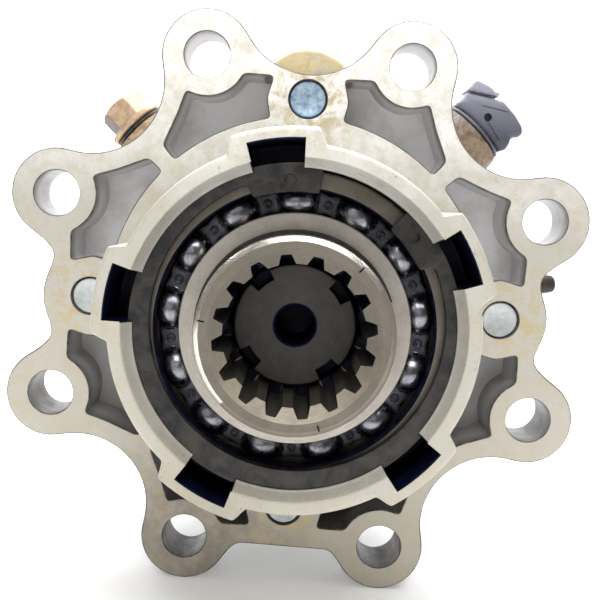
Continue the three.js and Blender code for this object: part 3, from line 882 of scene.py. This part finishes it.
solid = plate(
    ray_outline(web_reach), [(circle(WEB_BORE_R, 96), 0, 0, None)], FLANGE_BACK + 0.01, WEB_BACK, (0, 1.2)
)
opening = plate(
    [(64, -56), (72.7, -53), (72.7, -44), (69.4, -42.9), (63.7, -44), (60, -46), (58, -52)], [], -15, -42,
    (0, 0)
)
web_cuts = [
    *(pocket(points) for points in windows), opening, boss_clearance(DRAIN_DEG, 13),
    boss_clearance(SENSOR_DEG, 15)
]
casting("housing_web", solid, [LIT_POCKET_SKIN], cuts=web_cuts)

solid = plate(
    circle(BOSS_R, 96, plug_centre(1)), [(circle(8.5, 48, plug_centre(1)), 0, 0, None)], -3, FLANGE_BACK,
    (1.2, 1)
)
beside = [plate(windows[i], [], 1, FLANGE_BACK - 1, (0, 0)) for i in (1, 2)]
casting(
    "housing_boss_top", solid, [STAINED_FACE, STAINED], face_looks=lambda c, n: 0 if n.z > 0.3 else 1,
    cuts=[*beside, gear_cavity]
)


# ---------- front rim ----------

NOTCH_DEGS = [NOTCH_FIRST_DEG + 72 * i for i in range(NOTCHES)]


def rim_outer_r(deg):
    """The rim's outside, swollen in front of each notch."""
    off = abs(off_deg(deg, NOTCH_DEGS))
    share = min(max((15.6 - off) / 3.6, 0), 1)
    return RIM_R + (BULGE_R - RIM_R) * share * share * (3 - 2 * share)


def rim_section(deg, notched):
    out = rim_outer_r(deg)
    outside = [
        (out + 3.4, -2.5), (out + 3.4, -0.15), (out + 1.7, 0.3), (out + 0.7, 1.1), (out + 0.15, 2.4),
        (out, 4.2)
    ]
    crown = [(out, 60.1), (out - 0.2, 60.6), (out - 0.7, 60.92), (out - 1.3, RIM_FRONT)]
    if notched:
        r = NOTCH_R
        inside = [
            (r + 0.5, RIM_FRONT), (r + 0.12, 60.85), (r, 60.4), (r, 58.4), (r, 57.9), (r, 57.5), (r, 55),
            (r, 54.1), (r, 50), (r, 42), (r - 0.4, 41.15), (r - 1.2, NOTCH_FLOOR), (SEAT_R, NOTCH_FLOOR)
        ]
    else:
        inside = [
            (48.5, RIM_FRONT), (48.1, 60.9), (47.8, 60.6), (46.15, 58.2), (45.6, 57.95), (SEAT_R, 57.5),
            (47, 57.5), (47, 54.1), (SEAT_R, 54.1), (SEAT_R, 50), (SEAT_R, 45), (SEAT_R, 43),
            (SEAT_R, NOTCH_FLOOR)
        ]
    seat = [
        (SEAT_R, 35.7), (41.6, 35.7), (41, 35.1), (41, 30), (43, 28), (43, CAVITY_FRONT + 0.2),
        (52, CAVITY_FRONT + 0.2)
    ]
    return outside + crown + inside + seat


rim_degs = {360 * i / 240 for i in range(240)}
for middle in NOTCH_DEGS:
    rim_degs |= {
        (middle + side * d) % 360 for side in (-1, 1)
        for d in (8.2, 12.4, 12.9, 13.4, 13.9, 14.4, 14.9, 15.4)
    }
sections = [(deg, rim_section(deg, abs(off_deg(deg, NOTCH_DEGS)) < NOTCH_HALF_DEG)) for deg in rim_degs]
for middle in NOTCH_DEGS:
    for side in (-1, 1):
        deg = (middle + side * NOTCH_HALF_DEG) % 360
        sections.append((deg - 0.01 * side, rim_section(deg, True)))
        sections.append((deg + 0.01 * side, rim_section(deg, False)))
solid = revolved(sorted(sections, key=lambda pair: pair[0]))


def rim_looks(centre, normal):
    r = math.hypot(centre.x, centre.y)
    inward = centre.x * normal.x + centre.y * normal.y < 0
    notch = abs(off_deg(math.degrees(math.atan2(centre.y, centre.x)), NOTCH_DEGS)) < NOTCH_HALF_DEG + 0.3
    # Painted shadow on the notches' faces.
    if notch and 45.2 < r < 53.3 and 35 < centre.z < 60.95:
        return 3
    if centre.z > 60 or r > 51:
        return 0 if centre.z > 1.5 or normal.z > 0.3 else 1
    if centre.z > 57.6 and inward:
        return 4
    return 2


casting("housing_rim", solid, [RIM_FACE, CAST, BORE, PAINTED_SHADOW, RIM_LIP], face_looks=rim_looks)


# ---------- rear half of the housing ----------

wall = [
    (CAVITY_R, CAVITY_BACK), (72, CAVITY_BACK), (72, -35.9), (69, -36.5), (67.4, -38), (67, -41),
    (67, -56), (67.4, -58.6), (69, -60.1), (71, -60.5), (71, -65), (CAVITY_R, -65)
]
casting("housing_wall", turned(wall, 144), [CAST])


def ear_reach(deg):
    off = off_deg(deg, [45 * i for i in range(COVER_BOLTS)])
    return max(EAR_CIRCLE_R, out_of_circle(off, EAR_CIRCLE_R, 0, EAR_R))


ear_outline = ray_outline(ear_reach, 720, 3)
cover_bolt_at = [polar(EAR_CIRCLE_R, 45 * i) for i in range(COVER_BOLTS)]
bolt_bores = [(circle(4.3, 32, at), 0.3, 0.3, None) for at in cover_bolt_at]
casting(
    "housing_rear_flange",
    plate(ear_outline, [(circle(CAVITY_R, 96), 0, 0.5, None), *bolt_bores], -60, -71.7, (1, 0.5)), [CAST]
)

for i, deg in enumerate(LOBE_DEGS):
    outline = rounded(arc(64, deg + 2, deg - 2, 2) + arc(76, deg - 2, deg + 2, 2), 1.3)
    casting(f"housing_rib_{i + 1}", plate(outline, [], -34, -62, (0.4, 0.4)), [CAST])

drain_boss = [
    (6.3, 62), (15, 62), (13.6, 68), (12.6, 73), (12.1, 78), (12, 84.8), (11.7, 85.6), (11, 86),
    (6.9, 86), (6.3, 85.5)
]
solid = turned(drain_boss, 72)
pockets = [plate(windows[i], [], -5, WINDOW_FLOOR - 1, (0, 0)) for i in (2, 3)]
casting("housing_drain_boss", laid_radial(solid, DRAIN_DEG, SIDE_BOSS_Z), [STAINED], cuts=pockets)
sensor_boss = [
    (6.3, 62), (17, 62), (15.9, 70), (14.7, 77), (13.9, 83), (13.5, 89), (13, 90.5), (12, 91), (6.9, 91),
    (6.3, 90.5)
]
solid = turned(sensor_boss, 72)
pockets = [plate(windows[i], [], -5, WINDOW_FLOOR - 1, (0, 0)) for i in (0, 1)]
casting("housing_sensor_boss", laid_radial(solid, SENSOR_DEG, SIDE_BOSS_Z), [STAINED_DARK], cuts=pockets)

for i, side in enumerate(("right", "top", "left", "bottom")):
    dished = [
        (0, -1.75), (2.6, -1.62), (4.6, -1.3), (5.3, -1.05), (5.75, -1.05), (6.02, -1.25), (6.1, -1.6),
        (6.1, -11.7), (0, -11.7)
    ]
    solid = turned(dished, 64)
    look = ZINC_BLUE if side == "top" else ZINC
    place(
        "blind_plug_" + side + "_face", moved(solid, *plug_centre(i)), "housing", "zinc", [look],
        ["blind_plug_" + side]
    )


# ---------- screw plug and speed sensor ----------


def hex_r(deg, corner_r, flat_deg=0):
    """The radius of a hexagon with worn corners."""
    off = (deg - flat_deg + 30) % 60 - 30
    flat = corner_r * math.cos(math.radians(30))
    return min(flat / math.cos(math.radians(off)), corner_r * 0.985)


def hex_head(corner_r, base, top, bevel_r, rest, turn_deg=0):
    """The solid of a hexagon head that stands along z from base to top, on the points of rest."""
    sections = []
    grow = 1 if top > base else -1
    for k in range(144):
        deg = 2.5 * k
        r = hex_r(deg, corner_r, turn_deg)
        drop = max(r - bevel_r, 0) * 0.62 + 0.05
        crown = [
            (r + 0.5, base), (r + 0.1, base + 0.2 * grow), (r, base + 0.7 * grow),
            (r, top - (drop + 0.3) * grow), (r - 0.15, top - drop * grow),
            (min(bevel_r, r - 0.3), top - 0.05 * grow), (bevel_r - 0.8, top), (0, top)
        ]
        sections.append((deg, rest + crown))
    return revolved(sections)


place(
    "drain_plug_washer_ring",
    laid_radial(
        turned([(6.5, 86.4), (9.7, 86.4), (10, 86.7), (10, 87.5), (9.7, 87.8), (6.5, 87.8)], 72),
        DRAIN_DEG, SIDE_BOSS_Z
    ),
    "housing", "copper", [CLIP], ["drain_plug_washer"]
)
plug_shank = [
    (0, 66), (5.4, 66), (6, 66.8), (6, 88.1), (10.2, 88.1), (10.7, 88.5), (10.8, 89.1), (10.5, 90),
    (9.6, 90.6)
]
solid = hex_head(8.8, 90.7, 99, 7.2, plug_shank, turn_deg=-5)


def plug_looks(centre, normal):
    """The flats that face down and outwards take a painted shade."""
    return 1 if normal.x < -0.2 and normal.y < -0.35 and math.hypot(centre.x, centre.y) > 90 else 0


place(
    "drain_plug_screw", laid_radial(solid, DRAIN_DEG, SIDE_BOSS_Z), "housing", "copper",
    [COPPER, COPPER_SHADE], ["drain_plug"], face_looks=plug_looks
)

collar = [
    (0, 63), (5.2, 63), (6, 64), (6, 91.3), (12.2, 91.3), (12.6, 91.6), (12.6, 92.2), (12.2, 92.5),
    (0, 92.5)
]
place(
    "sensor_collar", laid_radial(turned(collar, 72), SENSOR_DEG, SIDE_BOSS_Z), "housing",
    "sensor_plastic", [PLASTIC], ["sensor_body"]
)


def across_sensor(points):
    """Points given as (across, along) the sensor, in train x and y."""
    turn = Matrix.Rotation(math.radians(SENSOR_DEG), 2)
    return [tuple(turn @ Vector((along, across))) for across, along in points]


shell = [
    (12.6, 92.8), (12.2, 96.5), (12.9, 98.5), (3.2, 105), (1.5, 106.3), (-4.9, 106.2), (-10.4, 105.2),
    (-12.6, 103.4), (-12.4, 101.3), (-10.6, 99.6), (-12, 97.3), (-12.6, 95), (-11.6, 92.8),
]
grooves = [
    plate(across_sensor([(5.2, 98.9), (5.6, 99.2), (-4.8, 106.2), (-5.2, 105.8)]), [], -28, -29.4, (0, 0)),
    plate(across_sensor(circle(1.5, 24, (0.9, 97.8))), [], -28, -33, (0, 0)),
    plate(across_sensor([(-0.2, 97), (0.8, 96.5), (-7, 93.4), (-8.2, 95.4)]), [], -28, -29.6, (0, 0)),
]
place(
    "sensor_shell", plate(softened(across_sensor(shell), 0.4, 5), [], -29, -48, (2.2, 2.2)), "housing",
    "sensor_plastic", [PLASTIC], ["sensor_connector"], cuts=grooves
)
tab = softened(
    across_sensor([(13.4, 99.1), (13.9, 103.8), (12.9, 104.8), (8.2, 106.4), (3.2, 106.3)]), 0.4, 3
)
place(
    "sensor_tab", plate(tab, [], -29.6, -46, (1.2, 1.2)), "housing", "sensor_plastic", [PLASTIC_TAB],
    ["sensor_connector"]
)

stem = [
    (0, 84.3), (2.2, 84.3), (2.2, 88), (2.9, 88.1), (3.3, 88.6), (3.4, 89.5), (3.4, 94.6), (3.1, 96),
    (2.2, 96.8), (0, 97)
]
place(
    "breather_cap_rubber", laid_radial(turned(stem, 40), BREATHER_DEG, BREATHER_Z), "housing",
    "seal_rubber", [BROWN_RUBBER], ["breather_cap"]
)


# ---------- rear cover ----------

place(
    "rear_cover_flange",
    plate(ear_outline, [(circle(33, 96), 0, 0, None), *bolt_bores], -72, -81, (0.5, 1)), "housing",
    "casting", [CAST], ["rear_cover"]
)
cover_hub = [
    (24.3, -54), (24.9, -53.3), (30.4, -53.3), (31, -53.9), (31, -71.8), (36, -72.5), (62, -79),
    (62, -80.9), (57, -82.3), (45, -85.4), (40.5, -87.4), (37, -91), (34.9, -94.6), (33.6, -96),
    (25, -96), (24.3, -95.4)
]
place("rear_cover_hub", turned(cover_hub, 144), "housing", "casting", [CAST], ["rear_cover"])
for i, at in enumerate(cover_bolt_at):
    shank = [(0, -60.5), (3.6, -60.5), (4, -61), (4, -81.3), (7.4, -81.3), (7.6, -81.6), (7.4, -81.9)]
    place(
        f"cover_bolt_{i + 1}_screw", moved(hex_head(7.2, -81.9, -87, 6, shank), *at), "housing", "zinc",
        [ZINC], [f"cover_bolt_{i + 1}"]
    )
place(
    "rear_bush_ring",
    turned(
        [
            (18.6, -73.3), (18.9, -73), (23.7, -73), (24, -73.3), (24, -87.7), (23.7, -88), (18.9, -88),
            (18.6, -87.7)
        ],
        96
    ),
    "housing", "bronze", [BRONZE], ["rear_bush"]
)
seal = [
    (18.8, -91.5), (19.3, -92.3), (20.3, -92), (21.2, -95.2), (21.6, -96), (23.6, -96), (24, -95.6),
    (24, -89), (19.4, -89), (18.6, -90.4)
]
place("output_seal_ring", turned(seal, 96), "housing", "seal_rubber", [RUBBER], ["output_seal"])


# ---------- front bearing ----------


def groove_arc(start, end, steps=12):
    """The ball track's section, just clear of the balls."""
    return [(BALL_PITCH_R + x, BALL_Z + y) for x, y in arc(BALL_R + 0.45, start, end, steps)]


outer_ring = [
    (40.1, 36), (39.7, 36.4), *groove_arc(-52, 52), (39.7, 53.6), (40.1, BEARING_FRONT),
    (44.1, BEARING_FRONT), (44.7, 53.7), (45, 53.1), (45, 36.9), (44.1, 36)
]
# The outer race's faces other than its front take the painted shadow.
place(
    "bearing_outer_race", turned(outer_ring, 180), "housing", "bearing_steel", [OUTER_RACE, PAINTED_SHADOW],
    ["bearing_outer_ring"], face_looks=lambda c, n: 0 if 40.2 < math.hypot(c.x, c.y) < 44.8 else 1
)
inner_ring = [
    (32.7, 36), (33, 36.3), *groove_arc(-128, -232), (33, 53.7), (32.7, BEARING_FRONT),
    (27.85, BEARING_FRONT), (27.6, 53.9), (27.5, 53.6), (27.5, 36.9), (28.3, 36)
]
place(
    "bearing_inner_race", turned(inner_ring, 180), "input", "bearing_steel", [RACE],
    ["bearing_inner_ring"]
)

for i in range(BALLS):
    x, y = polar(BALL_PITCH_R, BALL_FIRST_DEG + 360 * i / BALLS)
    half = [
        (BALL_R * math.cos(math.radians(t)), BALL_R * math.sin(math.radians(t)))
        for t in range(-90, 91, 9)
    ]
    place(
        f"ball_{i + 1:02d}_smooth", moved(turned([(max(r, 0), z) for r, z in half], 40), x, y, BALL_Z),
        "cage", "ball_steel", [BALL], [f"ball_{i + 1:02d}"], sharp_deg=60
    )

PAD_Z = 1.0
SHEET = 0.75
DOME_R = 6.15
CAGE_HALF_WIDTH = 3.05


def cage_half(forward):
    """The pressed ribbon of one half of the cage: a dome over each ball and a flat pad between them."""
    across_steps, along_steps = 12, 44
    verts = []

    def rise(s, t, r, flat):
        dome = math.sqrt(max(r * r - s * s - t * t, 0))
        blend = 0.35
        return flat + math.log1p(
            math.exp((dome - flat) / blend)
        ) * blend - blend * math.log(2) * math.exp(-abs(dome - flat))

    pitch = 2 * math.pi * BALL_PITCH_R / BALLS
    for ball in range(BALLS):
        for k in range(along_steps):
            s = pitch * (k / along_steps - 0.5)
            middle = BALL_FIRST_DEG + 360 * ball / BALLS
            deg = middle + math.degrees(s / BALL_PITCH_R)
            waist = CAGE_HALF_WIDTH - 0.6 * math.exp(-(((abs(s) - pitch / 2) / 1.4) ** 2))
            loop = []
            for skin, r, flat in ((0, DOME_R, PAD_Z), (1, DOME_R - SHEET, PAD_Z - SHEET)):
                for m in range(across_steps + 1):
                    t = waist * (2 * m / across_steps - 1) * (1 if skin == 0 else -1)
                    worn = 0.12 if skin == 0 and m in (0, across_steps) else 0
                    loop.append(
                        (*polar(BALL_PITCH_R + t, deg), BALL_Z + forward * (rise(s, t, r, flat) - worn))
                    )
            verts.extend(loop)
    return verts, band_faces(BALLS * along_steps, 2 * (across_steps + 1))


def rivets(forward):
    """A rivet head with a dimple on each pad."""
    head = [(0, 1.15), (0.35, 1.2), (0.55, 1.5), (0.8, 1.62), (1.1, 1.5), (1.3, 1.2), (1.35, 0.8), (0, 0.8)]
    parts = []
    for i in range(BALLS):
        x, y = polar(BALL_PITCH_R, BALL_FIRST_DEG + 360 * (i + 0.5) / BALLS)
        parts.append(moved(turned([(r, forward * z) for r, z in head], 28), x, y, BALL_Z))
    return joined(*parts)


for node, forward in (("cage_front", 1), ("cage_rear", -1)):
    place(
        node + "_ribbon", cage_half(forward), "cage", "dark_steel", [CAGE, PAD], [node], sharp_deg=50,
        face_looks=lambda c, n: 1 if abs(c.z - BALL_Z) < PAD_Z + 0.1 else 0
    )
    place(node + "_rivets", rivets(forward), "cage", "dark_steel", [PAD], [node])

RING_GAP_DEG = 66.9
ring_inner = [
    polar(41.4 + 1.7 * math.cos(math.radians(d - RING_GAP_DEG)), d)
    for d in [388.4 - 277 * k / 72 for k in range(73)]
]
ring_outline = arc(
    46.7, 83.4, 410.4, 120
) + arc(38.6, 410.4, 389.4, 10) + ring_inner + arc(38.6, 110.4, 83.4, 12)
lug_holes = [(circle(1.6, 32, polar(42, d)), 0.15, 0.15, None) for d in (41.8, 94.9)]
place(
    "retaining_ring_clip", plate(softened(ring_outline, 0.6, 2), lug_holes, 57.1, 54.3, (0.25, 0.25)),
    "housing", "dark_steel", [CLIP], ["retaining_ring"]
)


# ---------- hub and shaft ----------

SPLINE_MOUTH_R = 23.3
SUN_TEETH = 32
SUN_TIP_R = 30.45
SUN_ROOT_R = 26.65
GEAR_FRONT = -15
GEAR_BACK = -41


def swing(deg, pitch_deg, first_deg, points):
    """The radius at an angle round a repeated outline. points are (degrees from its middle, radius)."""
    off = abs((deg - first_deg + pitch_deg / 2) % pitch_deg - pitch_deg / 2)
    for (d0, r0), (d1, r1) in zip(points, points[1:]):
        if d0 <= off <= d1:
            return r0 + (r1 - r0) * (off - d0) / max(d1 - d0, 1e-6)
    return points[-1][1]


spline_side = [
    (0, SPLINE_ROOT_R), (3.5, SPLINE_ROOT_R), (3.9, SPLINE_ROOT_R - 0.3), (6.7, SPLINE_TIP_R + 0.15),
    (7.1, SPLINE_TIP_R), (12, SPLINE_TIP_R)
]
sun_side = [(0, SUN_TIP_R), (1.65, SUN_TIP_R), (4.45, SUN_ROOT_R), (6, SUN_ROOT_R)]
hub_sections = []
for k in range(960):
    deg = 0.375 * k
    r = swing(deg, 360 / SPLINE_SPACES, SPLINE_FIRST_DEG, spline_side)
    tooth = swing(deg, 360 / SUN_TEETH, 0, sun_side)
    drop = (SPLINE_MOUTH_R - r) * 0.85
    socket = [
        (SPLINE_MOUTH_R, HUB_FRONT), (r + 0.08, HUB_FRONT - drop + 0.1), (r, HUB_FRONT - drop - 0.25),
        (r, 38.5), (19.2, 38), (19.2, GEAR_BACK)
    ]
    outside = [
        (tooth, GEAR_BACK), (tooth, GEAR_FRONT), (25.5, GEAR_FRONT), (25.5, 29), (30.6, 29.7), (31, 30.2),
        (31, 35.7), (HUB_R, 35.7), (HUB_R, 54.6), (25.8, 54.6), (25.8, 56.9), (HUB_R, 56.9),
        (HUB_R, 68.2), (HUB_R - 0.15, 68.5), (HUB_R - 1.55, 69.85), (HUB_R - 1.75, HUB_FRONT)
    ]
    hub_sections.append((deg, socket + outside))
solid = revolved(hub_sections)


def hub_looks(centre, normal):
    r = math.hypot(centre.x, centre.y)
    if centre.z > 69.9:
        return 0
    # Painted shadow in the oil grooves cut in the hub's face.
    if 24 < r < 27.4 and centre.z > 69.2 and (normal.z > 0.95 or abs(normal.z) < 0.2):
        return 4
    # The chamfer's upper left takes the painted highlight and its lower right the shaded copy.
    if centre.z > 68 and r > 25:
        return 1 if centre.y - 0.8 * centre.x > -4 else 5
    if r > 25:
        return 3
    # The spline mouth's chamfer, with its painted light lower down.
    if centre.z > 65 and normal.z > 0.3:
        return 6
    # Painted shadow on spline faces turned away from the lamps; lower faces that face up keep the spline
    # steel.
    return 2 if normal.y > 0.3 and centre.y < 6 else 4


oil_grooves = []
for deg in (49, 173, 288):
    x0, y0 = polar(24.3, deg)
    x1, y1 = polar(28, deg)
    across = Vector(polar(0.22, deg + 90))
    outline = [
        (x0 - across.x, y0 - across.y), (x1 - across.x, y1 - across.y), (x1 + across.x, y1 + across.y),
        (x0 + across.x, y0 + across.y)
    ]
    oil_grooves.append(plate(outline, [], 71, 69.3, (0, 0)))
place(
    "input_hub_body", solid, "input", "gear_steel",
    [HUB_FACE, PAINTED_CHAMFER_HIGHLIGHT, SPLINE, SHAFT_SIDE, PAINTED_SHADOW, SHADED_CHAMFER, PAINTED_LIT_MOUTH], ["input_hub"],
    face_looks=hub_looks, cuts=oil_grooves
)

clip_outline = arc(28.4, 20, 340, 90) + arc(26.1, 340, 20, 90)
place(
    "hub_circlip_wire", plate(clip_outline, [], 56.6, 54.9, (0.15, 0.15)), "input", "dark_steel", [CLIP],
    ["hub_circlip"]
)

SLOT_DEGS = [39 + 90 * i for i in range(4)]
SLOT_HALF_DEG = 11.5


def shaft_section(slotted):
    centre = [(0, 21.8), (5.2, 23.5), (5.7, 25), (5.7, 43), (6.1, 43.55), (6.6, SHAFT_FRONT)]
    if slotted:
        end = [
            (14.3, SHAFT_FRONT), (14.62, 43.66), (14.7, 43.3), (14.7, 37.1), (15.1, 36.8), (17.9, 36.8),
            (SHAFT_R, 36.4)
        ]
    else:
        end = [
            (16, SHAFT_FRONT), (17.3, SHAFT_FRONT), (17.7, 43.7), (18.1, 43.3), (SHAFT_R, 42.8),
            (SHAFT_R, 40), (SHAFT_R, 36.4)
        ]
    rear = [
        (SHAFT_R, -95.6), (18, -96.2), (16, -98), (16, -104.4), (15.6, -105.2), (14.5, SHAFT_REAR),
        (0, SHAFT_REAR)
    ]
    return centre + end + rear


shaft_sections = [
    (2.0 * k, shaft_section(abs(off_deg(2.0 * k, SLOT_DEGS)) < SLOT_HALF_DEG)) for k in range(180)
]
for middle in SLOT_DEGS:
    for side in (-1, 1):
        deg = middle + side * SLOT_HALF_DEG
        shaft_sections += [
            (deg - 0.02 * side, shaft_section(True)), (deg + 0.02 * side, shaft_section(False))
        ]
solid = revolved(sorted(shaft_sections, key=lambda pair: pair[0]))


def shaft_looks(centre, normal):
    r = math.hypot(centre.x, centre.y)
    if normal.z > 0.9 and centre.z > 43:
        return 0
    # Painted shadow in the centre hole and on the slot walls.
    return 2 if r < 6 or centre.z > 36 and r < 18.1 else 1


place(
    "main_shaft_body", solid, "carrier", "dark_steel", [SHAFT_END, SHAFT_SIDE, PAINTED_SHADOW], ["main_shaft"],
    face_looks=shaft_looks
)


# ---------- sealed pieces that keep their CAD shape ----------

inner_looks = {
    "ring_gear": GEAR, "carrier_front_plate": GEAR, "carrier_rear_plate": GEAR,
    "inner_thrust_washer": BRONZE, "rear_thrust_washer": BRONZE
}
for i in range(1, 5):
    inner_looks.update({f"planet_gear_{i}": GEAR, f"planet_bush_{i}": BRONZE, f"planet_pin_{i}": CLIP})
for node, look in inner_looks.items():
    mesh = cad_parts[node].data
    mesh.materials.clear()
    mesh.materials.append(look)
    for polygon in mesh.polygons:
        polygon.use_smooth = False
        polygon.material_index = 0


# ---------- camera, floor and light ----------

scene = bpy.context.scene
camera = new_object("camera", bpy.data.cameras.new("camera"))
scene.camera = camera
camera.data.lens = 52.56
camera.data.sensor_width = 36
camera.data.clip_start = 0.01
camera.location = (-0.000886, -0.2989, 0.034325)
forward, up = Vector((0.0075, 0.9945, -0.1046)), Vector((-0.0595, 0.1048, 0.9927))
right = forward.cross(up).normalized()
up = right.cross(forward)
camera.rotation_euler = Matrix((right, up, -forward)).transposed().to_euler()

FLOOR_Z = -0.0985
floor = Look("paper", 0, 0.9)
floor.color((0.88, 0.88, 0.88))
floor.shader.inputs["Emission Color"].default_value = (1, 1, 1, 1)
floor.shader.inputs["Emission Strength"].default_value = 0.22
section = [(-1.2, 0), (0.45, 0)] + [
    (0.45 + 0.35 * math.sin(math.radians(t)), 0.35 - 0.35 * math.cos(math.radians(t)))
    for t in range(10, 91, 10)
] + [(0.8, 1.6)]
mesh = bpy.data.meshes.new("paper_sweep")
mesh.from_pydata(
    [(x, y, z + FLOOR_Z) for y, z in section for x in (-1.6, 1.6)], [],
    [(2 * i, 2 * i + 1, 2 * i + 3, 2 * i + 2) for i in range(len(section) - 1)]
)
for polygon in mesh.polygons:
    polygon.use_smooth = True
mesh.materials.append(floor.material)
sweep = new_object("paper_sweep", mesh)


def area_light(name, at, towards, size, power):
    light = bpy.data.lights.new(name, "AREA")
    light.shape = "RECTANGLE"
    light.size, light.size_y = size
    light.energy = power
    lamp = new_object(name, light)
    lamp.location = at
    lamp.rotation_euler = (Vector(towards) - Vector(at)).to_track_quat("-Z", "Y").to_euler()


# name, place, what it faces, size, power
LIGHTS = [
    ("key", (0.02, -0.32, 0.42), (0, 0, 0.02), (0.4, 0.25), 1.75),
    ("fill", (-0.3, -0.8, 0.3), (0, 0, 0), (0.8, 0.6), 0.9),
    ("top", (0.1, 0.05, 0.9), (0, 0.02, 0), (0.9, 0.9), 6),
    ("backdrop", (0, 0.35, 0.8), (0, 0.8, 0.1), (1.6, 0.4), 22),
]
for light in LIGHTS:
    area_light(*light)

world = bpy.data.worlds.new("room")
world.use_nodes = True
world.node_tree.nodes["Background"].inputs["Color"].default_value = (0.75, 0.74, 0.72, 1)
world.node_tree.nodes["Background"].inputs["Strength"].default_value = 0.3
scene.world = world
scene.view_settings.view_transform = "Standard"
